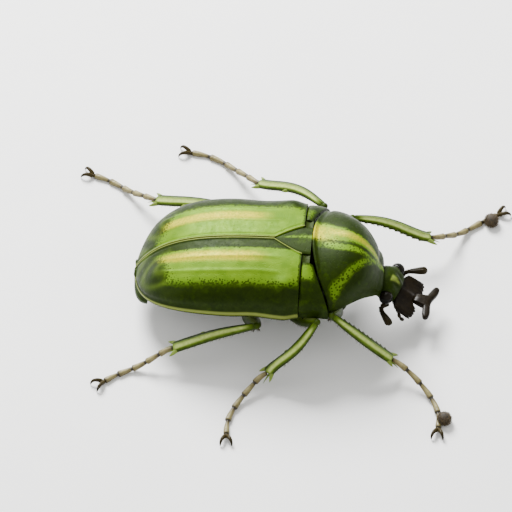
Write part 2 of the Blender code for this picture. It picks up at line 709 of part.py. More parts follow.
def palp(side, sign):
    """A short jointed feeler beside the jaws."""
    t = np.linspace(0, 1, 8)
    bend = np.stack([1.9 * t, sign * (0.9 * np.sin(np.pi * t * 0.7)), -0.9 * t + 0.3 * t**2], axis=1)
    path = np.array([CAPSULE_LENGTH + 1.5, sign * 2.2, -1.35]) + bend
    radius = np.array([0.22, 0.27, 0.3, 0.25, 0.29, 0.33, 0.3, 0.14])
    limb(f"palp_{side}", path, radius, radius, "horn_brown", sides=7, frame=HEAD_FRAME)


def stand_on_origin():
    """Moves everything so that the middle of the insect's own box is over the origin."""
    bpy.context.view_layer.update()
    graph = bpy.context.evaluated_depsgraph_get()
    corners = []
    for piece in bpy.context.scene.objects:
        if not piece.hide_render:
            held = piece.evaluated_get(graph)
            corners += [held.matrix_world @ Vector(c) for c in held.bound_box]
    low = Vector(map(min, zip(*corners)))
    high = Vector(map(max, zip(*corners)))
    shift = Vector((-(low.x + high.x) / 2, -(low.y + high.y) / 2, 0))
    for piece in bpy.context.scene.objects:
        piece.location += shift


def build():
    for old in list(bpy.data.objects):
        bpy.data.objects.remove(old)
    for side, sign in SIDES:
        elytron(side, sign)
        epimeron(side, sign)
        collar(side, sign)
    scutellum()
    hind_chest = thorax()
    abdomen()
    pygidium()
    pronotum()
    chests = {"fore": prosternum(), "mid": hind_chest, "hind": hind_chest}
    head()
    clypeus()
    horn()
    mouthparts()
    for side, sign in SIDES:
        eye_ball(f"eye_{side}", sign, detail=3)
        antenna(side, sign)
        palp(side, sign)
        for pair, chest in chests.items():
            leg(pair, side, sign)
            cut(chest, hip_ball(f"hip_socket_{pair}_{side}", pair, sign, SEAM))
    stand_on_origin()


build()
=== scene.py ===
"""A T-horned flower beetle standing on a pale floor, dressed plate by plate over its frame of solids.

Lengths are in millimetres until put_mesh() turns them into metres. The insect faces +X and its left
side is +Y. Every surface is a grid of points worked out as a whole, and its rule is in its docstring.
"""

import math

import bpy
import numpy as np
from bpy.props import FloatProperty, FloatVectorProperty, IntProperty, PointerProperty
from mathutils import Matrix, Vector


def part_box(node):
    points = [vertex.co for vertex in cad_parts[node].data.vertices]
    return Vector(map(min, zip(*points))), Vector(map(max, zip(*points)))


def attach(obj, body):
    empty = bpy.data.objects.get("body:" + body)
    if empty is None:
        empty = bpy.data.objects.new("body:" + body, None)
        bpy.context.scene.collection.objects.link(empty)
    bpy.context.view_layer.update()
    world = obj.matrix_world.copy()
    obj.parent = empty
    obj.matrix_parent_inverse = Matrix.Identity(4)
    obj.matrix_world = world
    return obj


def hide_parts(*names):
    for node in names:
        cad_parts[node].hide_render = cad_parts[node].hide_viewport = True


bl_info = {
    "name": "Horned Flower Beetle",
    "version": (1, 0, 0),
    "blender": (4, 5, 0),
    "location": "3D View > Sidebar > Beetle",
    "description": "Builds the plates, limbs, hairs and studio of a life-size flower beetle",
    "category": "Add Mesh",
}

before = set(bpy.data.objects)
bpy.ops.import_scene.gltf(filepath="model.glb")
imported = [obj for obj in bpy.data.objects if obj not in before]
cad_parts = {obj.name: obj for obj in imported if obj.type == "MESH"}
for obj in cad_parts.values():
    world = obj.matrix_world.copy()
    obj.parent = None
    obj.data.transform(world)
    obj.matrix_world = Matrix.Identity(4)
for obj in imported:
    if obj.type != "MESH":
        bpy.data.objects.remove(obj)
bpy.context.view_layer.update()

MM = 0.001
SEAM = 0.06  # half of the gap between two plates
UP = (0, 0, 1)
DOWN = (0, 0, -1)
SIDES = (("left", 1), ("right", -1))
PAIRS = ("fore", "mid", "hind")


# ---------------------------------------------------------------- numbers and curves

def box_mm(node):
    """Lowest and highest corner of a solid of the frame."""
    low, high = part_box(node)
    return np.array(low) / MM, np.array(high) / MM


def smooth_step(t):
    t = np.clip(t, 0.0, 1.0)
    return t * t * (3 - 2 * t)


def signed_power(a, power):
    return np.sign(a) * np.abs(a) ** power


def hump(value, centre, half, power=2):
    """1 at the centre, falling to 1/e at half to either side. A higher power gives a flatter top."""
    return np.exp(-np.abs((value - centre) / half) ** power)


def relief(*humps):
    """The sum of humps, each given by its height, the value it depends on, its centre and its half width."""
    return sum(height * hump(value, centre, half) for height, value, centre, half in humps)


def crowded(count):
    """Shares from 0 to 1, close together at both ends."""
    return (1 - np.cos(np.linspace(0, math.pi, count))) / 2


def rounded_ends(u, start, end):
    """A quarter circle up from 0 over the first share, and one down over the last."""
    rise = np.sqrt(np.clip(1 - (1 - np.clip(u / start, 0, 1)) ** 2, 0, 1))
    fall = np.sqrt(np.clip(1 - (1 - np.clip((1 - u) / end, 0, 1)) ** 2, 0, 1))
    return rise * fall


def flow(x, at, values):
    """A smooth curve through points: cubics whose slope at a point is that between its neighbours."""
    at, values = np.asarray(at, float), np.asarray(values, float)
    slopes = np.gradient(values, at)
    i = np.clip(np.searchsorted(at, x, side="right") - 1, 0, len(at) - 2)
    span = at[i + 1] - at[i]
    t = np.clip((x - at[i]) / span, 0, 1)
    start = (2 * t**3 - 3 * t**2 + 1) * values[i] + (t**3 - 2 * t**2 + t) * span * slopes[i]
    return start + (3 * t**2 - 2 * t**3) * values[i + 1] + (t**3 - t**2) * span * slopes[i + 1]


def frame_at(point, yaw, pitch):
    """A frame at a point, turned left by yaw and nose down by pitch."""
    turn = Matrix.Rotation(math.radians(yaw), 4, "Z") @ Matrix.Rotation(math.radians(pitch), 4, "Y")
    return Matrix.Translation(point) @ turn


def carry(where, points):
    """Points of a frame, in the model's own coordinates."""
    where = np.array(where)
    return points @ where[:3, :3].T + where[:3, 3]


def xyz(x, y, z):
    """Three arrays that fit each other, as one grid of points."""
    return np.stack(np.broadcast_arrays(x, y, z), axis=-1).astype(float)


def unit(v):
    v = np.asarray(v, float)
    return v / np.linalg.norm(v, axis=-1, keepdims=True)


# ---------------------------------------------------------------- trunk shape, from the frame

COLLAR = 1.25
SCUTELLUM_LOW, SCUTELLUM_HIGH = box_mm("scutellum")
COVER_LOW, COVER_HIGH = box_mm("elytron_left")
BASE = np.array([SCUTELLUM_HIGH[0] - COLLAR, (SCUTELLUM_LOW[1] + SCUTELLUM_HIGH[1]) / 2, 0])
TRUNK = Matrix.Translation(BASE)
ELYTRA_LENGTH = BASE[0] - COVER_LOW[0]
HALF_WIDTH = COVER_HIGH[1] - BASE[1]
RIM_HEIGHT = SCUTELLUM_LOW[2] - SEAM
RIM_DROOP = RIM_HEIGHT - COVER_LOW[2] + SEAM
DOME = SCUTELLUM_HIGH[2] - RIM_HEIGHT + 0.12
BELLY = RIM_HEIGHT - SEAM - box_mm("thorax")[0][2]
ABDOMEN_START = BASE[0] - box_mm("abdomen")[1][0]
ABDOMEN_END = 24.1
SCUTELLUM_LENGTH = 4.6
SCUTELLUM_HALF_WIDTH = (SCUTELLUM_HIGH[1] - SCUTELLUM_LOW[1]) / 2
COLLAR_HALF_WIDTH = 4.3
COLLAR_DEPTH = 0.34
BACK = 2.6  # exponent of the superellipse across the back
BELLY_POWER = 1.42

NECK_LENGTH = 10.9
NECK_HALF_WIDTH = 9.75
NECK_DOME = 6.7
NECK_POWER = 2.25  # exponent of the superellipse across the shield
NECK_ARCH = 2.0
NECK_LOBE = 2.6
NECK_PITCH = 12.0
NECK_YAW = 3.5
NECK_ROOT = (COLLAR + 0.15, 0, RIM_HEIGHT + 0.1)
NECK = TRUNK @ frame_at(NECK_ROOT, NECK_YAW, NECK_PITCH)
HEAD_YAW = -17.3
HEAD_PITCH = 18.0
HEAD_ROOT = (11.1, -0.14, 0.0)
HEAD = NECK @ frame_at(HEAD_ROOT, HEAD_YAW, HEAD_PITCH)
CAPSULE_LENGTH = 3.3
FACE_START = CAPSULE_LENGTH + 2 * SEAM
FACE_LENGTH = 3.65
HORN_SPAN = 7.0
HORN_STALK = 1.1
HORN_PITCH = -24.0


def back_along(x):
    """0 at the base of the wing covers, 1 at their tips."""
    return np.clip(-x / ELYTRA_LENGTH, 0.0, 1.0)


def half_width(x):
    """Blunt behind, a little drawn in behind the shoulders, narrower at the very base."""
    s = back_along(x)
    waist = 1 - 0.03 * hump(s, 0.27, 0.11)
    return HALF_WIDTH * (0.95 + 0.05 * smooth_step(s / 0.09)) * waist * (1 - 0.975 * s**5.6) ** 0.5


def dome_height(x):
    """Highest near the base, and falling away faster and faster to the tips."""
    s = back_along(x)
    return DOME * (1 - 0.6 * s**2.6) * (1 - 0.9 * s**11) ** 0.5


def rim(x):
    """The side edge runs level, then turns down to the tips."""
    return RIM_HEIGHT - RIM_DROOP * back_along(x) ** 6


def belly_depth(x):
    """The belly hangs less and less far below the side edge towards the tail."""
    return BELLY * (1 - 0.42 * back_along(x) ** 6)


def on_back(x, y):
    """Height of the back over the rim at a distance y from the middle."""
    share = np.clip(np.abs(y) / half_width(x), 0, 1)
    return dome_height(x) * (1 - share**BACK) ** (1 / BACK)


def scutellum_edge(x):
    """Half the width of the little triangle between the wing covers."""
    run = np.clip(-x, 0, None) / SCUTELLUM_LENGTH
    return SCUTELLUM_HALF_WIDTH * np.clip(1 - run**1.25, 0, None)


def neck_hind_edge(y):
    """How far the shield's lobed hind edge swings forward: by the square of the distance from the middle."""
    return NECK_LOBE * (np.abs(y) / NECK_HALF_WIDTH) ** 2


def neck_width(u):
    """Half the width of the shield, which falls by a power of the way to its front."""
    return NECK_HALF_WIDTH * (0.975 + 0.025 * smooth_step(u / 0.12)) * (1 - 0.62 * u**1.5)


def neck_dome(u):
    """The height of the shield, which holds and then falls by a power of the way to its front."""
    return NECK_DOME * (0.965 + 0.035 * smooth_step(u / 0.2)) * (1 - 0.64 * u**3.3)


def neck_arch(x):
    """How much higher the shield's side edge is than a straight line between its ends."""
    return NECK_ARCH * np.sin(math.pi * np.clip(x / NECK_LENGTH, 0, 1) ** 1.25)


# ---------------------------------------------------------------- skins and pieces

def grid_normals(points):
    """Unit normals of a grid: the cross product of its two directions."""
    return unit(np.cross(np.gradient(points, axis=0), np.gradient(points, axis=1)) + 1e-12)


def raised(points, height, towards=UP):
    """A grid moved along its own normals, on the side that faces towards."""
    normals = grid_normals(points)
    if (normals @ np.asarray(towards, float)).mean() < 0:
        normals = -normals
    return points + normals * height[..., None]


def ring_quads(rows, cols):
    """Indices of the points of closed rings, of the next point round from each, and the quads between."""
    index = np.arange(rows * cols).reshape(rows, cols)
    after = np.roll(index, -1, axis=1)
    return index, after, np.stack([index[:-1], after[:-1], after[1:], index[1:]], axis=-1).reshape(-1, 4)


def loft(points, **marks):
    """A closed skin over rings of points: quads between rings, and a fan to the middle of each end."""
    rows, cols = points.shape[:2]
    index, after, quads = ring_quads(rows, cols)
    first, last = np.full(cols, rows * cols), np.full(cols, rows * cols + 1)
    fans = np.concatenate(
        [np.stack([first, after[0], index[0]], -1), np.stack([last, index[-1], after[-1]], -1)]
    )
    verts = np.vstack([points.reshape(-1, 3), points[0].mean(0), points[-1].mean(0)])
    flat = {}
    for name, mark in marks.items():
        mark = np.broadcast_to(mark, (rows, cols))
        flat[name] = np.concatenate([mark.ravel(), [mark[0].mean(), mark[-1].mean()]])
    faces = np.concatenate([quads[:, :3], quads[:, [0, 2, 3]], fans])
    a, b, c = (verts[faces[:, i]] - verts[0] for i in range(3))
    if (a * np.cross(b, c)).sum() < 0:
        quads, fans = quads[:, ::-1], fans[:, ::-1]
    return verts, quads, fans, flat


def carried(where, skin):
    """A skin carried from a frame to the model's own coordinates."""
    return (carry(where, skin[0]), *skin[1:])


def drawn_in(ring, steps):
    """Copies of a ring, each with the share of its size across the body, and how far it is pushed along."""
    return np.array([ring * (1, share, share) + (push, 0, 0) for share, push in steps])


def around(sides):
    return np.arange(sides) * 2 * math.pi / sides


def sphere(rows, cols):
    """Rings whose radius is the sine of the way from pole to pole, that way as an angle, and the turn."""
    angle, turn = np.linspace(0.02, math.pi - 0.02, rows)[:, None], around(cols)
    return xyz(-np.cos(angle), np.sin(angle) * np.cos(turn), np.sin(angle) * np.sin(turn)), angle, turn


def ball(centre, half_axes, rows=40, cols=64, **marks):
    """An ellipsoid: a sphere stretched along the three axes."""
    return loft(np.asarray(centre) + sphere(rows, cols)[0] * half_axes, **marks)


def box_ball(node, share, rows=40, cols=64, **marks):
    """An ellipsoid in the middle of a solid's box, with a share of its size."""
    low, high = box_mm(node)
    return ball((low + high) / 2, (high - low) / 2 * share, rows, cols, **marks)


def directions(path, up):
    """Along, across and above a path, at each of its points."""
    ahead = unit(np.gradient(path, axis=0))
    across = unit(np.cross(up, ahead))
    return ahead, across, np.cross(ahead, across)


def tube(path, wide, deep, up=UP, sides=24, swell=1.0, floor=None, **marks):
    """An oval carried along a path, wide across and deep above it, with its radius times swell."""
    _, across, above = directions(path, up)
    angle = around(sides)
    swell = np.broadcast_to(swell, (len(path), sides))
    points = path[:, None] + (np.outer(wide, np.cos(angle)) * swell)[..., None] * across[:, None]
    points = points + (np.outer(deep, np.sin(angle)) * swell)[..., None] * above[:, None]
    if floor is not None:
        points[..., 2] = np.maximum(points[..., 2], floor)
    return loft(points, **marks)


def spike(root, tip, radius, bend, **marks):
    """A curved thorn: its path bends by a parabola, and its radius goes to a point."""
    t = crowded(12)
    path = np.asarray(root) + np.outer(t, np.subtract(tip, root)) + np.outer(4 * t * (1 - t), bend)
    size = radius * (1 - t) ** 0.7 * rounded_ends(t, 0.12, 1e-6) + 0.012
    up = UP if abs(unit(np.subtract(tip, root))[2]) < 0.9 else (1, 0, 0)
    return tube(path, size, size, up=up, sides=10, **marks)


def put_mesh(name, verts, quads, triangles, marks):
    """A mesh in metres from arrays, with each mark as a value on its points."""
    mesh = bpy.data.meshes.new(name)
    mesh.vertices.add(len(verts))
    mesh.vertices.foreach_set("co", (verts * MM).astype(np.float32).ravel())
    corners = np.concatenate([quads.ravel(), triangles.ravel()]).astype(np.int32)
    starts = np.concatenate([np.arange(len(quads)) * 4, quads.size + np.arange(len(triangles)) * 3])
    mesh.loops.add(len(corners))
    mesh.loops.foreach_set("vertex_index", corners)
    mesh.polygons.add(len(starts))
    mesh.polygons.foreach_set("loop_start", starts.astype(np.int32))
    mesh.update(calc_edges=True)
    for mark, values in marks.items():
        mesh.attributes.new(mark, "FLOAT", "POINT").data.foreach_set("value", values.astype(np.float32))
    if mesh.validate():
        raise RuntimeError(f"{name}: the mesh had faults")
    return mesh


def placed(name, mesh, finish):
    """An object of a mesh in its finish, which rides on the root."""
    made = bpy.data.objects.new(name, mesh)
    bpy.context.scene.collection.objects.link(made)
    made.data.materials.append(FINISHES[finish](bpy.context.scene.beetle_colours))
    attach(made, "root")
    return made


CREASE = math.radians(40.0)  # faces that meet at a wider angle keep a sharp edge


def piece(name, skins, finish, replaces, where=None):
    """One object of joined skins, which stands for solids of the frame, in the given finish."""
    counts = np.cumsum([0] + [len(skin[0]) for skin in skins])
    verts = np.vstack([skin[0] for skin in skins])
    quads = np.vstack([skin[1] + n for skin, n in zip(skins, counts)])
    triangles = np.vstack([skin[2] + n for skin, n in zip(skins, counts)])
    names = sorted({mark for skin in skins for mark in skin[3]})
    marks = {
        mark: np.concatenate([skin[3].get(mark, np.zeros(len(skin[0]))) for skin in skins])
        for mark in names
    }
    if where is not None:
        verts = carry(where, verts)
    mesh = put_mesh(name, verts, quads, triangles, marks)
    mesh.shade_smooth()
    mesh.set_sharp_from_angle(angle=CREASE)
    made = placed(name, mesh, finish)
    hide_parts(*replaces)


# ---------------------------------------------------------------- limbs, read from the frame

def corners_of(node):
    """The corners of a solid's triangles, in millimetres: an array of triangles by corner by axis."""
    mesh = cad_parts[node].data
    points = np.empty(len(mesh.vertices) * 3, np.float32)
    mesh.vertices.foreach_get("co", points)
    index = np.empty(len(mesh.loops), np.int32)
    mesh.loops.foreach_get("vertex_index", index)
    return points.reshape(-1, 3)[index].reshape(-1, 3, 3).astype(float) / MM


def meeting(node, other):
    """The middle of where two solids face each other: the mean of the corners of each near the other."""
    a, b = (np.unique(corners_of(n).reshape(-1, 3).round(4), axis=0) for n in (node, other))
    apart = np.linalg.norm(a[:, None] - b[None], axis=-1)
    reach = max(0.35, apart.min() * 1.5)
    near = [a[apart.min(1) < reach].mean(0), b[apart.min(0) < reach].mean(0)]
    return np.mean(near, axis=0)


def centreline(node, start, end, degree, count):
    """The middle of a tube-like solid. Planes square to its chord cut it, the middle of each cut is
    weighted by its edges' lengths, and a polynomial of the distance along the chord is fitted to them."""
    corners = corners_of(node)
    chord = unit(end - start)
    height = (corners - start) @ chord
    length = (end - start) @ chord
    other, other_height = np.roll(corners, -1, axis=1), np.roll(height, -1, axis=1)
    levels = np.linspace(0.08, 0.92, 36)
    middles = []
    for level in levels * length:
        crossing = (height - level) * (other_height - level) < 0
        share = ((level - height) / np.where(crossing, other_height - height, 1))[..., None]
        cut = (corners + (other - corners) * share)[crossing].reshape(-1, 2, 3)
        weight = np.linalg.norm(cut[:, 0] - cut[:, 1], axis=1)
        middles.append((cut.mean(1) * weight[:, None]).sum(0) / weight.sum())
    levels = np.concatenate([[0], levels, [1]])
    middles = np.vstack([start, *middles, end])
    weight = np.concatenate([[8], np.ones(len(levels) - 2), [8]])
    shape = np.polynomial.polynomial.polyfit(levels, middles, degree, w=weight)
    fine = np.linspace(0, 1, 400)
    return resample(np.polynomial.polynomial.polyval(fine, shape).T, np.linspace(0, 1, count))


def run_along(path):
    """Distance along a path at each of its points, as a share of the whole."""
    run = np.concatenate([[0], np.cumsum(np.linalg.norm(np.diff(path, axis=0), axis=1))])
    return run / run[-1]


def resample(path, shares):
    """Points at given shares of a path's length."""
    run = run_along(path)
    return np.stack([np.interp(shares, run, path[:, i]) for i in range(3)], axis=1)


def leg_joints(leg):
    """Hip, knee, ankle and root of the claws of one leg."""
    low, high = box_mm(f"coxa_{leg}")
    hip = (low + high) / 2
    knee = meeting(f"femur_{leg}", f"tibia_{leg}")
    ankle = meeting(f"tibia_{leg}", f"tarsus_{leg}")
    toe = meeting(f"tarsus_{leg}", f"claws_{leg}")
    return hip, knee, ankle, toe


# Degrees of the polynomials that the middle lines follow.
THIGH_DEGREE, SHIN_DEGREE, FOOT_DEGREE, PALP_DEGREE = 3, 4, 7, 3
LEGS = [(pair, side, sign, f"{pair}_{side}") for pair in PAIRS for side, sign in SIDES]
JOINTS = {leg: leg_joints(leg) for _, _, _, leg in LEGS}


# ---------------------------------------------------------------- shell plates

# Where a wing cover is dark along its side and its seam, and the middle of its golden stripe, as shares
# of its width. The golden stripe is a painted highlight, the dark seam strip (wide only on the right cover)
# is painted shade, and the dark side is margin colour deepened by painted shade. The values differ between
# the covers because the painted light falls from the left.
COVER_BANDS = {1: (0.52, 0.015, 0.43), -1: (0.60, 0.19, 0.35)}


def cover_marks(s, share, sign):
    """Where a wing cover is dark and where golden: a dark side, the dark green margin deepened by painted
    shade; painted shade along the seam, over the tail and at the very base; and a golden stripe that comes
    in behind the shoulder, which is a painted highlight."""
    side, seam, stripe = COVER_BANDS[sign]
    dark = smooth_step((share - side) / (0.20 if sign > 0 else 0.26))
    dark = np.maximum(dark, smooth_step((seam + 0.05 - share) / 0.07))
    dark = np.maximum(dark, smooth_step((s - 0.765 - 0.05 * np.cos(share * 5)) / 0.13))
    dark = np.maximum(dark, smooth_step((0.03 - s) / 0.03))
    gold = hump(share, stripe - 0.03 * s, 0.085, 4)
    gold = gold * smooth_step((s - 0.16) / 0.2) * smooth_step((0.92 - s) / 0.16)
    return dark * (1 - 0.45 * gold * smooth_step((s - 0.7) / 0.1)), gold


def wing_cover(sign):
    """Rings across the back, each a quarter superellipse from the seam to the side edge, on a flat
    underside. Added along the normals: a bead at seam and rim, two faint ribs, shoulder and tip bumps.
    The tip is closed by copies of the last ring that shrink to its middle by a cosine."""
    x = (-SEAM - (ELYTRA_LENGTH - SEAM) * (1 - (1 - np.linspace(0, 1, 170)) ** 1.3))[:, None]
    s = back_along(x)
    inner, width = scutellum_edge(x) + SEAM / 4, half_width(x)
    way = np.linspace(0, 1, 110)
    way = way**1.6 / (way**1.6 + (1 - way) ** 1.5)
    angle = np.arccos(np.clip(inner / width, 0, 1) ** (BACK / 2)) * (1 - way)
    across = width * np.cos(angle) ** (2 / BACK)
    top = xyz(x, sign * across, rim(x) + SEAM + dome_height(x) * np.sin(angle) ** (2 / BACK))
    from_seam, share = across - inner, across / width
    height = relief((0.07, from_seam, 0.16, 0.16), (-0.06, from_seam, 0.62, 0.2),
                    (-0.09, from_seam, 0, 0.07), (0.12, angle, 0.03, 0.07), (-0.10, angle, 0.20, 0.09))
    height = height + 0.42 * hump(x, -2.4, 1.7) * hump(across, 8.4, 1.3)
    height = height + 0.40 * hump(x, -22.4, 1.7) * hump(across, 4.9, 1.8)
    ribs = hump(share, 0.34, 0.03) + hump(share, 0.58, 0.03)
    height = height + 0.085 * ribs * smooth_step((s - 0.08) / 0.1) * smooth_step((0.88 - s) / 0.1)
    top = raised(top, height)
    under = [xyz(x, sign * (width - 0.05), rim(x) - 0.1), xyz(x, sign * (width - 0.3), rim(x) - 0.12)]
    under += [xyz(x, sign * (width - 0.34), rim(x) + SEAM / 2), xyz(x, sign * inner, rim(x) + SEAM / 2)]
    rings = np.concatenate([top, *under], axis=1)
    last, middle = rings[-1], rings[-1].mean(0)
    turns = np.radians([25, 50, 75])
    for turn in turns:
        tip = middle + (last - middle) * math.cos(turn) - (0.35 * math.sin(turn), 0, 0)
        rings = np.vstack([rings, tip[None]])
    # Painted light: the dark marks are partly painted shade, the golden stripe is a painted highlight, the
    # pale streaks curl through the painted shade of the tail, and the fine line along the seam and side beads
    # is a painted highlight.
    dark, gold = cover_marks(s, share, sign)
    curl = np.hypot(x + 21.6, across - 4.4) + 0.5 * np.sin(across * 0.9)
    streak = smooth_step((s - 0.74) / 0.08) * (0.5 + 0.5 * np.sin(curl * 2.6)) ** 2
    line = np.maximum(hump(from_seam, 0.16, 0.09, 4), hump(angle, 0.05, 0.035, 4))
    marks = {"dark": dark, "gold": gold, "streak": streak * (1 - hump(share, 1, 0.12)), "line": line}
    for name, mark in marks.items():
        mark = np.concatenate([mark, np.repeat(mark[:, -1:], len(under), axis=1)], axis=1)
        marks[name] = np.vstack([mark, np.repeat(mark[-1:], len(turns), axis=0)])
    return loft(rings, **marks)


def scutellum_skin():
    """A triangle with curved sides: rows across it follow the back, crowned a little in the middle."""
    x = np.linspace(COLLAR, -SCUTELLUM_LENGTH + 0.25, 60)[:, None]
    edge, share = scutellum_edge(x), np.linspace(-1, 1, 41)[None]
    across = edge * share
    height = RIM_HEIGHT + on_back(x, across) - 0.1
    top = xyz(x, across, height + 0.05 * (1 - share**2) - 0.1 * np.abs(share) ** 14)
    low = xyz(x, np.concatenate([edge, -edge], axis=1), RIM_HEIGHT + SEAM)
    # Painted highlight: a lighter streak a little left of the middle, fading towards the tip, on dark green.
    dark = 0.98 - 0.5 * hump(share - 0.25, 0, 0.14) * smooth_step((x + 3.6) / 1.2) + 0 * x
    dark = np.concatenate([dark, np.ones(low.shape[:2])], axis=1)
    return loft(np.concatenate([top, low], axis=1), dark=dark)


def collar_skin(sign):
    """The sunken strip beside the scutellum: a short loft whose top follows the back, lower down."""
    x = np.linspace(SEAM, COLLAR, 14)[:, None]
    y = np.linspace(SCUTELLUM_HALF_WIDTH + 2 * SEAM, COLLAR_HALF_WIDTH, 24)[None]
    dip = 0.12 * np.sin(math.pi * (x - SEAM) / (COLLAR - SEAM))
    top = xyz(x, sign * y, RIM_HEIGHT + on_back(0, y) - COLLAR_DEPTH - dip)
    low = xyz(x, sign * y[:, [-1, 0]], RIM_HEIGHT + SEAM)
    return loft(np.concatenate([top, low], axis=1), edge=0.7)


def shoulder_plate(sign):
    """Between neck shield and shoulder: rows along the body whose top falls by a power to the front."""
    y = np.linspace(COLLAR_HALF_WIDTH + SEAM, half_width(0) - 0.22, 60)[:, None]
    front = COLLAR + neck_hind_edge(y) - sign * y * math.tan(math.radians(NECK_YAW)) - 0.2
    top = RIM_HEIGHT + on_back(0, y) - 0.2
    share = np.linspace(0, 1, 26)[None]
    crown = 0.10 * np.sin(math.pi * share) - 0.15 * hump(share, 0, 0.05) - 0.45 * share**3
    z = np.maximum(top + crown, RIM_HEIGHT + SEAM + 0.02)
    skin = xyz(SEAM + (front - SEAM) * share, sign * y, z)
    low = xyz(np.concatenate([front, np.full_like(front, SEAM)], axis=1), sign * y, RIM_HEIGHT + SEAM)
    # Painted highlight: a pale spot on each shoulder plate, much stronger on the right one.
    highlight_patch = hump(y, 5.9, 1.2, 4) * hump(share, 0.4, 0.4, 4) * (0.9 if sign < 0 else 0.35)
    dark = np.concatenate([0.95 - highlight_patch, np.ones(low.shape[:2])], axis=1)
    return loft(np.concatenate([skin, low], axis=1), dark=dark)


def neck_marks(u, y, width):
    """The shield's marks, painted highlights on a ground that is dark green deepened by painted shade: a light
    stripe that drifts from the left behind to the middle in front, golden at its base, a broken second one
    beside it, and a paler band from the rear corner on the right."""
    share = y / width
    middle = 0.27 - 0.42 * u
    light = hump(share, middle, 0.17 - 0.05 * u, 4) * smooth_step((1.0 - u) / 0.2)
    second = hump(share, middle - 0.30, 0.075, 4) * hump(u, 0.42, 0.34, 4)
    band = hump(share, -0.90 + 0.75 * u**1.6, 0.10, 4) * smooth_step((u - 0.04) / 0.1)
    light = np.maximum(light, np.maximum(0.66 * second, 0.5 * band))
    gold = hump(share, 0.20 - 0.35 * u, 0.17, 4) * hump(u, 0.0, 0.22)
    gold = np.maximum(gold, 0.75 * hump(share, middle + 0.02, 0.08, 4) * hump(u, 0.5, 0.4, 4))
    return np.maximum(1 - light, 0) * (1 - 0.85 * gold), gold


def neck_shield():
    """Half superellipse rings from the lobed hind edge to the front, drawn in by powers of the way.
    The front edge rolls in to a socket for the head. Beads run along the sides and both ends."""
    rows, cols = 120, 150
    u = crowded(rows)[:, None]
    angle = math.pi * (0.5 - 0.5 * np.cos(np.linspace(0, math.pi, cols)) * 0.999)[None]
    width, dome = neck_width(u), neck_dome(u)
    y = width * signed_power(np.cos(angle), 2 / NECK_POWER)
    z = dome * np.sin(angle) ** (2 / NECK_POWER)
    hind = neck_hind_edge(y) - z * math.tan(math.radians(NECK_PITCH))
    x = hind + (NECK_LENGTH - hind) * u
    side = np.minimum(angle, math.pi - angle)
    ahead, behind = NECK_LENGTH - x, x - hind
    height = relief((0.13, side, 0.03, 0.06), (-0.09, side, 0.17, 0.08), (0.10, behind, 0.2, 0.25),
                    (-0.07, behind, 0.8, 0.3), (-0.12, behind, 0, 0.08), (0.13, ahead, 0.25, 0.28),
                    (-0.09, ahead, 0.85, 0.3))
    height = height - 0.22 * hump(u, 0.5, 0.1) * hump(np.abs(y) / width, 0.80, 0.07)
    height = height - 0.06 * hump(y, 0, 0.5) * smooth_step((u - 0.15) / 0.2)
    top = raised(xyz(x, y, z + neck_arch(x)), height)
    edge = x[:, [-1, 0]]
    flat = xyz(edge, np.concatenate([-width + 0.35, width - 0.35], axis=1), neck_arch(edge) - 0.06)
    rings = np.concatenate([top, flat], axis=1)
    dark, gold = neck_marks(u, y, width)
    dark, gold = (np.concatenate([mark, mark[:, [-1, 0]]], axis=1) for mark in (dark, gold))
    start = drawn_in(rings[0], [(0.8, 1.6), (0.93, 0.9), (0.975, 0.25)])
    end = drawn_in(rings[-1], [(0.975, 0.1), (0.94, 0.02), (0.9, -0.35), (0.86, -1.3)])
    rings = np.concatenate([start, rings, end])
    dark, gold = (
        np.vstack([mark[:1].repeat(len(start), 0), mark, mark[-1:].repeat(len(end), 0)])
        for mark in (dark, gold)
    )
    dark[1 - len(end):], gold[-len(end):] = 1, 0
    return loft(rings, dark=dark, gold=gold)


def under_curve(x, angle, width, depth, top, power=BELLY_POWER):
    """Places at an angle on a half superellipse that hangs under a flat top."""
    across = width * signed_power(np.cos(angle), 2 / power)
    return xyz(x, across, top - depth * np.sin(angle) ** (2 / power))


def belly_rings(x, width, depth, top, power=BELLY_POWER):
    """Half ovals hanging under a flat top, one for each place along the body."""
    angle = np.linspace(0, math.pi, 90)[None]
    rings = under_curve(x, angle, width, depth, top, power)
    return rings, angle, rings[..., 1].copy()


CHEST_FRONT = 1.9


def chest_size(x):
    """Half width and depth of the hind chest, drawn in to its front end."""
    width = (half_width(x) - 0.35) * (0.66 + 0.34 * smooth_step((CHEST_FRONT - x) / 2.6))
    return width, belly_depth(x) * (0.72 + 0.28 * smooth_step((CHEST_FRONT - x) / 4.5))


def chest():
    """The hind chest as in the solid, with the groove down its middle, the slanting joints of its side
    plates and the knob that it pushes forward between the middle hips."""
    x = np.linspace(CHEST_FRONT, -ABDOMEN_START + SEAM, 110)[:, None]
    rings, angle, y = belly_rings(x, *chest_size(x), rim(x) - SEAM)
    height = -0.28 * hump(y, 0, 0.22) * smooth_step((-x - 4.2) / 1)
    height = height - 0.22 * hump(x + 8.7 + 0.10 * np.abs(y), 0, 0.16) + 0.10 * hump(x, -7.2, 1.2)
    height = height - 0.20 * hump(np.abs(y) - 6.9 - 0.12 * x, 0, 0.16)
    height = height - 0.18 * hump(x + 1.2 - 0.16 * np.abs(y), 0, 0.14)
    rings = raised(rings, height, DOWN)
    t = crowded(30)
    path = np.outer(1 - t, (-5.5, 0, 0)) + np.outer(t, (0.4, 0, 0)) + (0, 0, RIM_HEIGHT - BELLY + 0.35)
    path[:, 2] += 1.4 * smooth_step((t - 0.55) / 0.5)
    size = rounded_ends(t, 0.2, 0.3)
    knob = tube(path, 1.25 * size * (1 - 0.25 * t), 0.75 * size, sides=28)
    return [loft(rings, edge=hump(angle, math.pi / 2, 1.2)), knob]


# The dark skin between fore and hind body: where it starts, how long it is, the height of its middle,
# and its half width and half height at the start.
SKIN_START, SKIN_LENGTH, SKIN_HEIGHT = 0.6, 4.0, 8.3
SKIN_WIDE, SKIN_HIGH = 9.7, 2.6


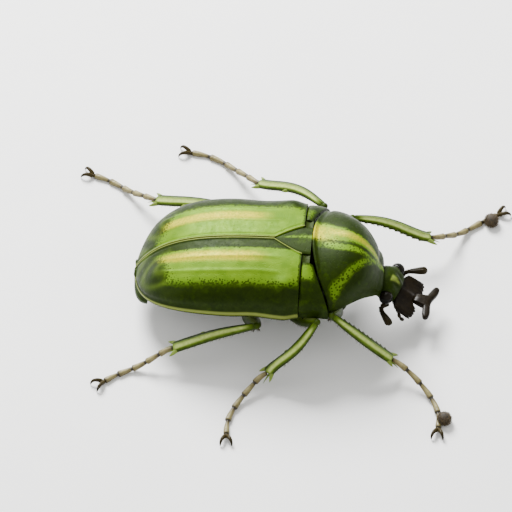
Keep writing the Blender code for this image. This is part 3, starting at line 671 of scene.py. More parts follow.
def under_neck():
    """The underside below the neck shield, swollen round the forehips, and the dark skin that joins it
    to the hind chest: a loft between an oval in each, with sine folds."""
    u = np.linspace(0.13, 0.98, 80)[:, None]
    width = neck_width(u) - 0.4
    depth = 4.2 - 2.0 * smooth_step((u - 0.45) / 0.55) - 0.5 * smooth_step((0.40 - u) / 0.2)
    rings, _, y = belly_rings(NECK_LENGTH * u, width, depth, 0.0, power=1.1)
    rings[..., 0] += neck_hind_edge(width) * (1 - u) * (y / width) ** 2
    arch = neck_arch(rings[..., 0])
    rings[..., 2] = arch - SEAM + rings[..., 2] * (depth + arch) / depth
    height = 0.35 * hump(u, 0.5, 0.2) * hump(np.abs(y), 2.6, 1.3) - 0.2 * hump(u, 0.72, 0.03)
    rings = raised(rings, height, DOWN)
    inward = drawn_in(rings[-1], [(0.96, 0.12), (0.9, 0), (0.84, -1.2)])
    shield = loft(np.concatenate([rings, inward]), edge=0.3)
    t = np.linspace(0, 1, 20)[:, None]
    turn = around(48)
    wide, high = SKIN_WIDE - 0.9 * t, SKIN_HIGH - 0.4 * t
    across, above = signed_power(np.cos(turn), 0.8), signed_power(np.sin(turn), 0.8)
    skin = xyz(SKIN_START + SKIN_LENGTH * t, wide * across, SKIN_HEIGHT + high * above)
    skin[..., 1:] += 0.08 * np.sin(t * math.pi * 8)[..., None] * xyz(0, np.cos(turn), np.sin(turn))[..., 1:]
    return [carried(NECK, shield), carried(TRUNK, loft(skin, edge=0.0))]


def abdomen_skin():
    """Five belly rings, each a plate that swells by a sine and steps down behind to the next."""
    plates, rows, first = 5, 26, -ABDOMEN_START
    along = np.linspace(0, plates, plates * rows + 1)[:-1, None]
    share = along % 1.0
    x = first + (-ABDOMEN_END - first) * along / plates
    lift = 0.93 + 0.055 * np.sin(math.pi * share) + 0.03 * share - 0.05 * smooth_step((share - 0.93) / 0.07)
    width = (half_width(x) - 0.45) * (0.985 + 0.015 * lift)
    rings, angle, _ = belly_rings(x, width, belly_depth(x) * lift, rim(x) - SEAM)
    side = hump(np.abs(np.cos(angle)), 0.86, 0.1) * 0.12 * np.sin(math.pi * share)
    rings = raised(rings, side - 0.08 * hump(share, 0.02, 0.05), DOWN)
    return [loft(rings, edge=smooth_step((share - 0.7) / 0.25) * 0.8)]


def pygidium_skin():
    """The last plate turns down behind the belly: ovals that shrink by a cosine as they go back, with
    fine wrinkles across it."""
    start, low = -ABDOMEN_END - 2 * SEAM, box_mm("pygidium")[0]
    reach, tip = low[0] - BASE[0] - 0.05, low[2] + 0.2
    t = np.linspace(0, 0.985, 60)[:, None]
    bend, size = np.sin(t * math.pi / 2), np.cos(t * math.pi / 2) ** 0.7
    x = start + (reach - start) * bend
    top = np.minimum(tip + 0.6 + (rim(start) - SEAM - tip - 0.6) * size, rim(x) - SEAM)
    bottom = tip + (rim(start) - belly_depth(start) * 0.94 - tip) * size
    turn = around(96)
    y = (half_width(start) - 0.9) * size * signed_power(np.cos(turn), 0.8)
    z = (top + bottom) / 2 - (top - bottom) / 2 * signed_power(np.sin(turn), 0.8)
    rings = xyz(x, y, z)
    height = 0.03 * np.sin(z * 9 + 1.5 * np.cos(y * 0.6)) + 0.12 * hump(y, 0, 1.6)
    return [loft(raised(rings, height, (-1, 0, 0)), dark=0.93 + 0.07 * hump(t, 0, 0.3))]


# ---------------------------------------------------------------- head

SKULL_POWER = 2.3
SKULL = {
    "x": [-0.9, -0.5, 0.0, 0.6, 1.5, 2.5, 3.3],
    "half": [1.5, 2.15, 2.5, 2.8, 3.05, 2.8, 2.5],
    "up": [0.9, 1.45, 1.75, 1.95, 2.05, 1.75, 1.25],
    "down": [1.0, 1.6, 1.9, 2.1, 2.1, 1.8, 1.45],
}


def skull():
    """Rounded oval rings through the skull's stations, with a ridge on the brow, a hollow at each side
    of it and the raised rim over each eye."""
    x = np.linspace(SKULL["x"][0], SKULL["x"][-1], 70)
    half, up, down = (flow(x, SKULL["x"], SKULL[key])[:, None] for key in ("half", "up", "down"))
    x = x[:, None]
    turn = around(110)
    y = half * signed_power(np.cos(turn), 2 / SKULL_POWER)
    z = np.where(np.sin(turn) > 0, up, down) * signed_power(np.sin(turn), 2 / SKULL_POWER)
    rings = xyz(x, y, z)
    upper = (np.sin(turn) > 0) * 1.0
    height = 0.22 * hump(y, 0, 0.45) * smooth_step((x - 0.9) / 1.2)
    height = (height - 0.20 * hump(np.abs(y), 1.15, 0.5) * hump(x, 2.3, 0.9)) * upper
    height = height + 0.10 * hump(np.hypot(x - 1.9, z - 0.3), 1.26, 0.12) * (np.abs(y) > 2)
    rings = rings + unit(xyz(0, y, z)) * height[..., None]
    # Painted highlight: a paler triangle on top of the head between the eyes, a little right of the middle,
    # narrowing towards the front.
    narrow = np.maximum(2.9 - x, 0.3) * 0.33
    highlight_patch = hump(y + 0.4, 0, narrow, 4) * smooth_step((x - 0.8) / 0.3)
    highlight_patch = highlight_patch * smooth_step((3.0 - x) / 0.5) * upper
    return [loft(rings, dark=1 - 0.45 * highlight_patch, line=0.8 * highlight_patch)]


def winged_plate(half_span, rear, front, thick, lift, **marks):
    """A plate carried across from tip to tip: at each place it is a rounded bar from its rear edge to
    its front edge, both functions of the distance from the middle, and it narrows to a point."""
    way = np.linspace(-1, 1, 161)
    y = (half_span * np.sin(way * math.pi / 2))[:, None]
    share = np.abs(y) / half_span
    back, fore = rear(np.abs(y)), front(np.abs(y))
    turn = around(48)[None]
    middle, reach = (back + fore) / 2, (fore - back) / 2
    close = np.sqrt(np.clip(1 - share**14, 0, 1)) + 0.02
    across = signed_power(np.cos(turn), 0.62)
    x = middle + reach * close * across
    z = thick(share) * close * signed_power(np.sin(turn), 0.72)
    z = z + lift(share, across) * (np.sin(turn) > -0.2)
    return loft(xyz(x, y, z), **marks)


FACE_SAW = 0.34  # depth of the teeth along the front edge
HORN_RAISE = 0.52  # of the stalk's root over the face plate's middle


def face_plate():
    """Narrow behind and drawn out at each side into a forward lobe with a toothed edge. The middle is
    dished and the edges are raised."""
    rear_at = ([0, 2.3, 2.6, 3.25, 3.65, 3.8, 3.88], [0.0, 0.0, 0.05, 0.3, 0.85, 2.4, 3.1])
    front_at = ([0, 0.8, 1.15, 1.6, 2.4, 3.2, 3.88], [2.95, 2.95, 3.25, 3.5, 3.5, 3.4, 3.35])

    def front(y):
        saw = FACE_SAW * (1 - (np.abs(y) * 1.55) % 1.0) * smooth_step((y - 1.2) / 0.3)
        return flow(y, *front_at) + saw

    skin = winged_plate(
        rear_at[0][-1], lambda y: flow(y, *rear_at), front, lambda share: 0.62 - 0.12 * share,
        lambda share, across: 0.16 * np.abs(across) ** 4 - 0.16 + 0.18 * share**3 + 0.2 * hump(share, 0, 0.16),
    )
    return [carried(HEAD @ Matrix.Translation((FACE_START, 0, 0)), skin)]


def horn_skin():
    """A stalk that spreads into two forward-curving arms with round ends: one plate whose rear edge
    drops back steeply to the stalk in the middle."""
    half = HORN_SPAN / 2

    def rear(y):
        arm = HORN_STALK + 0.22 + 0.80 * (y / half) ** 1.6
        return arm - (arm + 0.3) * smooth_step((1.18 - y) / 0.46)

    def front(y):
        return HORN_STALK + 1.40 + 0.50 * smooth_step(y / 2.6) - 0.15 * smooth_step((y / half - 0.86) / 0.14)

    skin = winged_plate(
        half, rear, front, lambda share: 0.56 - 0.14 * share,
        lambda share, _: 0.10 * share**2 + 0.07 * hump(share, 0, 0.2),
    )
    start = Matrix.Translation((FACE_START + FACE_LENGTH - 0.6, 0, HORN_RAISE))
    turn = Matrix.Rotation(math.radians(HORN_PITCH), 4, "Y")
    return [carried(HEAD @ start @ turn, skin)]


def eye_skin(side):
    """A ball in its socket, its facets rows of small swellings: the product of two sines."""
    low, high = box_mm(f"eye_{side}")
    rows, cols = 90, 150
    shape, angle, turn = sphere(rows, cols)
    facets = 0.008 * np.sin(angle * 58) * np.sin(turn * 50 + (np.arange(rows)[:, None] % 2) * math.pi / 2)
    radius = (high - low)[None, None] / 2 * (1 + facets[..., None])
    return loft((low + high) / 2 + shape * radius)


# Each feeler's first joint, row of beads and club: which way they point, and which way is up for them.
FEELERS = {
    "left": {"scape": (0.8, 0.85, 0.85), "reach": 1.3, "beads": (0.9, 0.3, 0.2),
             "club": (1.0, 0.08, 0.1), "up": (0.1, 0.2, 1)},
    "right": {"scape": (-0.75, -0.6, 0.25), "reach": 1.5, "beads": (0.2, -0.8, -0.4),
              "club": (0.5, -0.84, 0.0), "up": (0.3, 0.1, 1)},
}
FEELER_ROOT = (3.1, 2.8, -1.0)
FEELER_RADIUS = 0.36
BEADS = 4
BEAD_RADIUS = 0.40
BEAD_ROW = 0.9
CLUB_LENGTH = 2.9
CLUB_RADIUS = 0.58
LEAF_THICKNESS = 0.24


def feeler(side, sign):
    """A club-shaped first joint, four beads whose radius is a sine, and a club of three long leaves."""
    way = FEELERS[side]
    root = carry(HEAD, np.multiply(FEELER_ROOT, (1, sign, 1)))
    elbow = root + unit(way["scape"]) * way["reach"]
    end = elbow + unit(way["beads"]) * BEAD_ROW
    t = crowded(24)
    size = (FEELER_RADIUS + 0.08 * t**1.5) * rounded_ends(t, 0.1, 0.2)
    skins = [tube(root + np.outer(t, elbow - root), size, size, up=way["up"], pale=0.3)]
    for i in range(BEADS):
        start = elbow + (end - elbow) * i / BEADS
        size = (BEAD_RADIUS + 0.01 * i) * np.sin(math.pi * (0.1 + 0.8 * t)) ** 0.5
        skins.append(tube(start + np.outer(t, (end - elbow) * 0.27), size, size, up=way["up"], pale=0.2))
    club = unit(way["club"])
    across = unit(np.cross(way["up"], club))
    for i in (-1, 0, 1):
        path = end + np.outer(t * (CLUB_LENGTH + 0.15 - 0.1 * abs(i)) - 0.15, club)
        path = path + np.outer((0.18 + 0.17 * t) * i, across)
        size = rounded_ends(t, 0.12, 0.2) * (0.62 + 0.38 * smooth_step(t / 0.75))
        deep = CLUB_RADIUS * (1 - 0.12 * abs(i)) * size
        skins.append(tube(path, LEAF_THICKNESS * size, deep, up=way["up"], pale=0.1 + 0.4 * t[:, None]))
    return skins


def palp_skin(node):
    """A jointed feeler beside the jaws: three joints, each a sine swelling, along the solid's middle."""
    corners = corners_of(node).reshape(-1, 3)
    ends = corners[np.argmin(corners[:, 0])], corners[np.argmax(corners[:, 0])]
    t = np.linspace(0, 1, 60)
    path = centreline(node, *ends, PALP_DEGREE, len(t))
    share = (t * 3) % 1.0
    size = (0.17 + 0.13 * np.sin(math.pi * share) ** 0.7) * rounded_ends(t, 0.05, 0.12)
    return [tube(path, size, size, sides=18, pale=0.5 * share[:, None])]


def jaws():
    """The chin as a rounded block with two grooves, and a curved blade at each side for the jaws."""
    t = crowded(50)
    half = flow(t, [0, 0.25, 0.5, 0.75, 1], [1.5, 2.05, 2.15, 1.9, 1.3])
    size = rounded_ends(t, 0.08, 0.12)
    path = xyz(CAPSULE_LENGTH + 0.15 + 2.5 * t, 0, -1.3 - 0.1 * t)
    turn = around(72)
    grooves = 1 - 0.10 * hump(np.abs(np.cos(turn)), 0.45, 0.07)
    skins = [tube(path, half * size, 0.6 * size, sides=72, swell=grooves[None])]
    for sign in (1, -1):
        bend = xyz(CAPSULE_LENGTH + 1.6 + 1.3 * t, sign * (1.9 - 0.9 * t**2), -1.0 - 0.1 * t)
        blade = rounded_ends(t, 0.2, 0.5)
        skins.append(tube(bend, 0.36 * blade, 0.28 * blade, sides=20))
    return [carried(HEAD, skin) for skin in skins]


# ---------------------------------------------------------------- limbs

THIGH_FLATNESS = 0.74  # of its depth to its width


def thigh_width(u):
    """Half the width of a thigh, which swells by a sine."""
    return 0.60 + 0.64 * np.sin(math.pi * u**0.8) ** 0.8


def thigh_path(leg, count):
    """The middle of a thigh, from the mean of the corners farthest from the knee."""
    _, knee, _, _ = JOINTS[leg]
    corners = corners_of(f"femur_{leg}").reshape(-1, 3)
    start = corners[np.argsort(np.linalg.norm(corners - knee, axis=1))[-24:]].mean(0)
    return centreline(f"femur_{leg}", start, knee, THIGH_DEGREE, count)


def shin_path(leg, count):
    _, knee, ankle, _ = JOINTS[leg]
    return centreline(f"tibia_{leg}", knee, ankle, SHIN_DEGREE, count)


def foot_path(leg, count):
    _, _, ankle, toe = JOINTS[leg]
    return centreline(f"tarsus_{leg}", ankle, toe, FOOT_DEGREE, count)


def thigh_skins(leg, sign):
    """A thigh that swells by a sine and is flattened, keeled below and grooved along one side, a ball at
    the knee, and a small joint between the thigh and the hip."""
    path = thigh_path(leg, 70)
    u = run_along(path)
    wide = thigh_width(u) * rounded_ends(u, 0.06, 0.03)
    angle = around(36)[None]
    groove = math.pi * (0.25 if sign > 0 else 0.75)
    swell = 1 + 0.10 * hump(angle, 1.5 * math.pi, 0.3) - 0.06 * hump(angle, groove, 0.3)
    # Painted highlight along the top of the thigh, and painted shade down its sides.
    pale = 0.8 * hump(angle, math.pi / 2, 0.4) * np.sin(math.pi * u)[:, None] ** 0.7
    dark = smooth_step((np.abs(angle - math.pi / 2) - 0.5) / 0.7) * np.ones_like(pale)
    thigh = tube(path, wide, wide * THIGH_FLATNESS, sides=36, swell=swell, pale=pale, dark=dark)
    hip, knee, _, _ = JOINTS[leg]
    hip_joint = ball(path[0] + unit(hip - path[0]) * 0.35, (0.72, 0.72, 0.62), 24, 32, dark=0.6)
    knee_joint = ball(knee, (0.56, 0.56, 0.50), 24, 32, dark=0.9)
    return [thigh, hip_joint, knee_joint]


# Teeth on a shin: how far down it, on which side (1 is away from the middle of the body) and how big.
TEETH = {
    "fore": [(0.985, -1, 1.5), (0.985, 1, 0.9)],
    "mid": [(0.985, 1, 1.3), (0.985, -1, 1.3), (0.60, 1, 0.7)],
    "hind": [(0.985, 1, 1.3), (0.985, -1, 1.3), (0.62, 1, 0.6)],
}
SHIN_END = {"fore": 0.95, "mid": 0.95, "hind": 1.05}
SAW_TEETH = 13


def shin_shape(pair, u):
    """Half width and half depth of a shin: slender at the knee, widening by a power to its end."""
    wide = 0.52 + (SHIN_END[pair] - 0.52) * u**0.8 + 0.14 * np.sin(math.pi * u)
    return wide, 0.46 + 0.18 * np.sin(math.pi * u) + 0.14 * u**3


def shin_skins(pair, sign, leg):
    """A shin with a ridge along the top, a groove at each side of it, teeth and two spurs at its end.
    The foreshin's inner edge is a saw: a sawtooth raised to a power, which moves the edge outwards."""
    path = shin_path(leg, 150)
    u = run_along(path)
    wide, deep = shin_shape(pair, u)
    ends = rounded_ends(u, 0.05, 0.025)
    angle = around(40)[None]
    inner = math.pi if sign > 0 else 0
    off = np.abs((angle - inner + math.pi) % (2 * math.pi) - math.pi)
    swell = 1 + 0.16 * hump(angle, math.pi / 2, 0.16) - 0.07 * hump(np.abs(angle - math.pi / 2), 0.5, 0.2)
    swell = swell + 0.10 * hump(angle, 1.5 * math.pi, 0.22)
    if pair == "fore":
        saw = (1 - (u * SAW_TEETH) % 1.0) ** 1.2 * (u > 0.14) * (u < 0.92)
        swell = swell + (0.42 * saw)[:, None] * hump(off, 0, 0.30)
    _, across, _ = directions(path, UP)
    # Painted highlight along the top ridge, shifted to one side by whether the shin points forward or back,
    # and painted shade down the sides. The knee end is dark as a joint.
    middle = math.pi / 2 + 0.42 * np.sign(across[:, 1].mean())
    along = u[:, None]
    pale = hump(angle, middle, 0.36, 4) * smooth_step((along - 0.06) / 0.12) * smooth_step((1 - along) / 0.06)
    dark = np.maximum(smooth_step((np.abs(angle - middle) - 0.5) / 0.5), smooth_step((0.09 - along) / 0.09))
    skins = [tube(path, wide * ends, deep * ends, sides=40, swell=swell, pale=pale, dark=dark)]
    for share, edge, reach in TEETH[pair]:
        at, ahead = (resample(path, [k])[0] for k in (share - 0.02, share))
        run = unit(ahead - at)
        across = unit(np.cross(UP, run)) * edge * sign
        half = np.interp(share, u, wide)
        tip = ahead + across * (half + 0.32 * reach) + run * 0.75 * reach
        skins.append(spike(ahead + across * (half - 0.5) - run * 0.45, tip, 0.44, bend=across * 0.1, pale=0.3))
    run, ankle = unit(path[-1] - path[-6]), JOINTS[leg][2]
    for side in (-0.4, 0.3):
        across = unit(np.cross(UP, run)) * side
        tip = ankle + run * 1.5 + across * 1.6 - (0, 0, 0.3)
        skins.append(spike(ankle - run * 0.2 + across - (0, 0, 0.2), tip, 0.16, bend=(0, 0, 0.1), pale=0.2))
    return skins


TOE_JOINTS = 5


def foot_skins(leg):
    """Five joints of a foot: each widens by a power to its far end, closes by a quarter circle, and the
    next begins inside it. The last is longer and slender."""
    fine = 26
    along = np.linspace(0, TOE_JOINTS, TOE_JOINTS * fine, endpoint=False) + 0.5 / fine
    share, joint = along % 1.0, np.floor(along)
    path = resample(foot_path(leg, 300), along / TOE_JOINTS)
    grow = 0.32 + 0.22 * share**0.85
    grow = np.where(joint == TOE_JOINTS - 1, 0.30 + 0.18 * smooth_step(share / 0.85), grow)
    close = np.sqrt(np.clip(1 - np.clip((share - 0.88) / 0.13, 0, 1) ** 2, 0.08, 1))
    size = grow * np.maximum(close, 0.45)
    angle = around(28)[None]
    notch = 1 - 0.10 * hump(angle, math.pi / 2, 0.5) * (share > 0.7)[:, None]
    dark = np.maximum(smooth_step((0.16 - share) / 0.12), smooth_step((share - 0.9) / 0.06))[:, None]
    # Painted highlight: paler on the top middle of each joint.
    pale = hump(share, 0.55, 0.28)[:, None] * hump(angle, math.pi / 2, 1.1)
    return [tube(path, size, size, sides=28, swell=notch, floor=0.0, dark=dark, pale=pale)]


CLAW_LENGTH = 1.8
CLAW_RADIUS = 0.36


def claw_skins(leg):
    """Two hooks that leave the last joint side by side: each rises and comes down by sines, to a point
    on the floor."""
    path = foot_path(leg, 60)
    toe, ahead = path[-1], unit((path[-1] - path[-5]) * (1, 1, 0))
    across = np.cross(UP, ahead)
    t = crowded(40)
    size = CLAW_RADIUS * (1 - t) ** 0.55 * rounded_ends(t, 0.08, 1e-6) + 0.015
    skins = [ball(toe + ahead * 0.15, (CLAW_RADIUS, CLAW_RADIUS, 0.30), 20, 28, pale=1.0)]
    for turn in (1, -1):
        out = 0.12 + 0.78 * np.sin(t * math.pi * 0.55)
        rise = 0.55 * np.sin(math.pi * t**0.9) - (toe[2] - 0.06) * t**3
        hook = toe + ahead * 0.25 + np.outer(out * turn, across)
        hook = hook + np.outer(CLAW_LENGTH * np.sin(t * math.pi * 0.45), ahead) + xyz(0, 0, rise)
        skins.append(tube(hook, size, size, sides=16, floor=0.0, pale=1 - t[:, None]))
    return skins


# ---------------------------------------------------------------- hairs

LIMB_HAIRS = 110  # on each thigh and each shin
MOUTH_HAIRS = 420
HAIR_SEED = 11
HAIR_PATCH = 0.003  # side of each hair's own square on the sheet of baked colours
HAIR_FLOOR = 0.03  # no hair reaches lower


def hair_coat(name, roots, lie, length, width, patches, curl):
    """One mesh of many hairs. Each is a three-sided cone whose middle line leaves its root along lie
    and bends down by the square of the way, and whose radius falls by a power to nothing."""
    count, levels, sides = len(roots), 4, 3
    rng = np.random.default_rng(len(name) * 31 + count)
    lie = unit(lie + rng.normal(0, 0.16, lie.shape))
    length = length * rng.uniform(0.7, 1.15, count)
    t = np.arange(levels) / levels
    sag = np.array([0, 0, -1.0]) * curl
    lines = roots[:, None] + lie[:, None] * (length[:, None] * t)[..., None]
    lines = lines + sag * (length[:, None] * t**2)[..., None]
    tips = roots + lie * length[:, None] + sag * length[:, None]
    across = unit(np.cross(lie, (0.13, 0.31, 0.94)))
    above = np.cross(lie, across)
    turn = around(sides)
    radius = (width * (1 - t) ** 0.7)[None, :, None, None]
    ring = np.cos(turn)[:, None] * across[:, None, None] + np.sin(turn)[:, None] * above[:, None, None]
    verts = np.concatenate([(lines[:, :, None] + ring * radius).reshape(count, -1, 3), tips[:, None]], axis=1)
    verts[..., 2] = np.maximum(verts[..., 2], HAIR_FLOOR)
    per = levels * sides + 1
    base = np.arange(count)[:, None, None] * per
    index, after, quads = ring_quads(levels, sides)
    ends = np.stack([index[-1], after[-1], np.full(sides, per - 1)], -1)
    ends = np.concatenate([index[:1, ::-1], ends])
    quads = (base + quads).reshape(-1, 4)
    ends = (base + ends).reshape(-1, 3)
    tone = np.repeat(rng.uniform(0, 1, count), per)
    mesh = put_mesh(name, verts.reshape(-1, 3), quads, ends, {"tone": tone})
    local = np.stack([np.tile(np.arange(sides) / 2, levels), np.repeat(t, sides)], -1)
    local = np.concatenate([local, [[0.5, 1]]])
    at = patches[:, None] + (local - 0.5) * HAIR_PATCH
    corner = np.empty(len(mesh.loops), np.int32)
    mesh.loops.foreach_get("vertex_index", corner)
    at = at.reshape(-1, 2)[corner].astype(np.float32)
    mesh.uv_layers.new(name="OFBake").data.foreach_set("uv", at.ravel())
    mesh.shade_smooth()
    placed(name, mesh, "hair")


def tile(number, of, u, v):
    """Places on one square of a sheet that is cut into enough squares for all the skins."""
    side = math.ceil(math.sqrt(of))
    corner = np.array([number % side, number // side]) / side
    return corner + (0.03 + 0.94 * np.stack([u, v], -1)) / side


# ---------------------------------------------------------------- finishes

class Tree:
    """A material's nodes, with one short call for each kind that the finishes use."""

    def __init__(self, name, colours):
        self.colours = colours
        self.material = bpy.data.materials.new(name)
        self.material.use_nodes = True
        self.tree = self.material.node_tree
        self.shader = self.tree.nodes["Principled BSDF"]
        self.place = self.tree.nodes.new("ShaderNodeTexCoord").outputs["Object"]

    def node(self, kind, settings=None, **inputs):
        """A new node. Its inputs are fed by name, or by number as n0, n1 and so on."""
        made = self.tree.nodes.new(kind)
        for key, value in (settings or {}).items():
            setattr(made, key, value)
        for key, value in inputs.items():
            self.feed(made.inputs[int(key[1:]) if key[0] == "n" and key[1:].isdigit() else key], value)
        return made

    def feed(self, socket, value):
        if isinstance(value, bpy.types.NodeSocket):
            self.tree.links.new(value, socket)
        else:
            socket.default_value = value

    def noise(self, grain, detail, roughness=0.55):
        """Noise whose features are about grain millimetres across."""
        return self.node("ShaderNodeTexNoise", Vector=self.place, Scale=1 / (grain * MM), Detail=detail,
                         Roughness=roughness).outputs[0]

    def cells(self, grain, feature="F1"):
        """Distance to the nearest of points about grain millimetres apart."""
        return self.node("ShaderNodeTexVoronoi", {"feature": feature}, Vector=self.place,
                         Scale=1 / (grain * MM)).outputs["Distance"]

    def mark(self, name):
        return self.node("ShaderNodeAttribute", {"attribute_name": name}).outputs["Fac"]

    def maths(self, operation, a, b, c=0.0):
        return self.node("ShaderNodeMath", {"operation": operation}, n0=a, n1=b, n2=c).outputs[0]

    def times(self, a, b):
        return self.maths("MULTIPLY", a, b)

    def ranged(self, value, low, high, to_low=0.0, to_high=1.0):
        """Value taken from one range to another, smoothly and no further."""
        return self.node("ShaderNodeMapRange", {"interpolation_type": "SMOOTHSTEP"}, n0=value, n1=low,
                         n2=high, n3=to_low, n4=to_high).outputs[0]

    def mix(self, share, a, b):
        """A share of colour b over colour a. Each is a socket or the name of one of the colours."""
        made = self.node("ShaderNodeMix", {"data_type": "RGBA"}, n0=share)
        for socket, colour in ((6, a), (7, b)):
            if isinstance(colour, str):
                colour = (*getattr(self.colours, colour), 1.0)
            self.feed(made.inputs[socket], colour)
        return made.outputs[2]

    def clouds(self, cloud, a, b):
        """Two colours in soft clouds."""
        return self.mix(self.ranged(cloud, 0.3, 0.7), a, b)

    def bump(self, height, depth, normal=None):
        """Bumps whose full height is depth millimetres."""
        made = self.node("ShaderNodeBump", Height=height, Strength=1.0, Distance=depth * MM)
        if normal is not None:
            self.feed(made.inputs["Normal"], normal)
        return made.outputs[0]

    def finish(self, colour, roughness, normal, metallic=0.0, coat=0.0, coat_roughness=0.1, specular=0.5):
        for key, value in (("Base Color", colour), ("Roughness", roughness), ("Normal", normal)):
            self.feed(self.shader.inputs[key], value)
        for key, value in (("Metallic", metallic), ("Coat Weight", coat), ("Coat Roughness", coat_roughness),
                           ("Specular IOR Level", specular)):
            self.shader.inputs[key].default_value = value
        return self.material


FINISHES = {}


def once(name):
    """Keeps a finish after it is first made, so that pieces share it."""
    def keep(make):
        def found(colours):
            return bpy.data.materials.get(name + "_finish") or make(name + "_finish", colours)
        FINISHES[name] = found
        return found
    return keep


@once("shell")
def shell_finish(name, colours):
    """Shell: leaf green with golden stripes that are painted highlights, and stippled dark green where it is
    marked dark, which is margin colour deepened by painted shade.
    """
    t = Tree(name, colours)
    dark, gold, streak, line = (t.mark(mark) for mark in ("dark", "gold", "streak", "line"))
    cloud, fine = t.noise(2.6, 3), t.noise(0.35, 2)
    leaf = t.clouds(cloud, "leaf", "lime")
    # Painted highlight: the golden stripes.
    golden = t.times(gold, t.ranged(fine, 0.3, 0.65, 0.45, 1.0))
    leaf = t.mix(golden, leaf, "gold")
    deep = t.mix(t.ranged(t.noise(0.9, 4), 0.35, 0.7), "moss", "deep")
    # Paler curled streaks inside the painted shade over the tail.
    deep = t.mix(t.times(streak, 0.8), deep, "moss_light")
    # The dark marks: margin colour deepened by painted shade.
    ragged = t.maths("ADD", dark, t.ranged(t.noise(1.3, 3), 0.2, 0.8, -0.14, 0.14))
    level = t.maths("MULTIPLY_ADD", ragged, 1.05, 0.03)
    stipple = t.ranged(t.maths("SUBTRACT", level, t.times(t.cells(0.36), 1.3)), -0.05, 0.10)
    soft = t.ranged(ragged, 0.35, 1.0, 0.0, 0.92)
    colour = t.mix(t.maths("MAXIMUM", t.times(stipple, 0.8), soft), leaf, deep)
    # Painted highlight: the fine pale line along the seam and side beads of the covers and on top of the
    # skull.
    colour = t.mix(t.times(line, 0.75), colour, "line")
    rough = t.ranged(t.noise(0.8, 4), 0.25, 0.75, 0.38, 0.52)
    normal = t.bump(t.noise(5.0, 2), 0.03)
    normal = t.bump(t.ranged(t.cells(0.36), 0.0, 0.35), 0.022, normal)
    normal = t.bump(t.noise(0.12, 3), 0.004, normal)
    return t.finish(colour, rough, normal, metallic=0.15, specular=0.05)


@once("shell_dark")
def under_finish(name, colours):
    """The underside: blackish green metal, a paler green at each plate's edge, with close punctures."""
    t = Tree(name, colours)
    edge = t.mark("edge")
    cloud = t.noise(1.4, 4)
    colour = t.clouds(cloud, "deep", "moss")
    colour = t.mix(t.times(edge, 0.55), colour, "moss_light")
    normal = t.bump(t.ranged(t.cells(0.42), 0.0, 0.3), 0.03)
    normal = t.bump(t.noise(0.15, 3), 0.006, normal)
    return t.finish(colour, t.ranged(cloud, 0.2, 0.8, 0.4, 0.55), normal, metallic=0.08, specular=0.05)


@once("leg_shell")
def leg_finish(name, colours):
    """Leg plates: green metal, with a painted highlight along the top ridge, painted shade along the edges
    and dark joints, with punctures.
    """
    t = Tree(name, colours)
    pale, dark = t.mark("pale"), t.mark("dark")
    cloud = t.noise(1.1, 4, 0.6)
    colour = t.clouds(cloud, "leg", "leg_light")
    # Painted highlight along the top of each thigh and shin.
    colour = t.mix(t.times(pale, t.ranged(t.noise(0.4, 3), 0.2, 0.7, 0.6, 1.0)), colour, "leg_highlight")
    speck = t.ranged(t.cells(0.3), 0.12, 0.3, 1.0, 0.75)
    # Painted shade along the sides of each thigh and shin, and the dark joints.
    colour = t.mix(t.times(dark, speck), colour, "moss")
    normal = t.bump(t.ranged(t.cells(0.4), 0.0, 0.3), 0.018)
    normal = t.bump(t.noise(0.15, 3), 0.006, normal)
    return t.finish(colour, t.ranged(cloud, 0.25, 0.75, 0.36, 0.5), normal, metallic=0.1, specular=0.06)


@once("tarsus_brown")
def foot_finish(name, colours):
    """Foot joints: horn-tan beads, each with a painted highlight over its top middle, brown where one ends
    inside the next.
    """
    t = Tree(name, colours)
    cloud = t.noise(0.5, 4, 0.6)
    colour = t.clouds(cloud, "tan", "tan_dark")
    # Painted highlight on the top middle of each foot joint.
    colour = t.mix(t.times(t.mark("pale"), 0.8), colour, "tan_highlight")
    colour = t.mix(t.times(t.mark("dark"), 0.9), colour, "bark")
    normal = t.bump(t.noise(0.12, 4), 0.012)
    return t.finish(colour, t.ranged(cloud, 0.25, 0.75, 0.35, 0.55), normal, coat=0.03, specular=0.25)


@once("horn_brown")
def horn_finish(name, colours):
    """Horn, face plate, feelers, mouth and claws: mottled dark brown, tan where it is marked pale, with
    fine punctures."""
    t = Tree(name, colours)
    cloud = t.noise(0.8, 4, 0.6)
    colour = t.mix(t.ranged(cloud, 0.35, 0.7), "bark", "horn")
    colour = t.mix(t.times(t.mark("pale"), 0.6), colour, "tan_dark")
    normal = t.bump(t.ranged(t.cells(0.22), 0.0, 0.3), 0.012)
    normal = t.bump(t.noise(0.1, 3), 0.005, normal)
    return t.finish(colour, t.ranged(cloud, 0.2, 0.8, 0.26, 0.42), normal, coat=0.02, coat_roughness=0.2,
                    specular=0.09)


@once("eye")
def eye_finish(name, colours):
    """Nearly black and polished, with the joints between the facets as fine grooves."""
    t = Tree(name, colours)
    line = t.ranged(t.cells(0.11, "DISTANCE_TO_EDGE"), 0.0, 0.12)
    cloud = t.noise(0.7, 2)
    colour = t.clouds(cloud, "eye", "eye_glint")
    normal = t.bump(line, 0.006)
    return t.finish(colour, t.ranged(cloud, 0.2, 0.8, 0.10, 0.2), normal, coat=0.05, coat_roughness=0.03,
                    specular=0.06)


@once("pad")
def pad_finish(name, colours):
    """The felted sole of the forefoot's brush."""
    t = Tree(name, colours)
    cloud = t.noise(0.3, 4, 0.65)
    colour = t.clouds(cloud, "bark", "brush")
    return t.finish(colour, t.ranged(cloud, 0.2, 0.8, 0.7, 0.9), t.bump(t.noise(0.14, 4), 0.05))


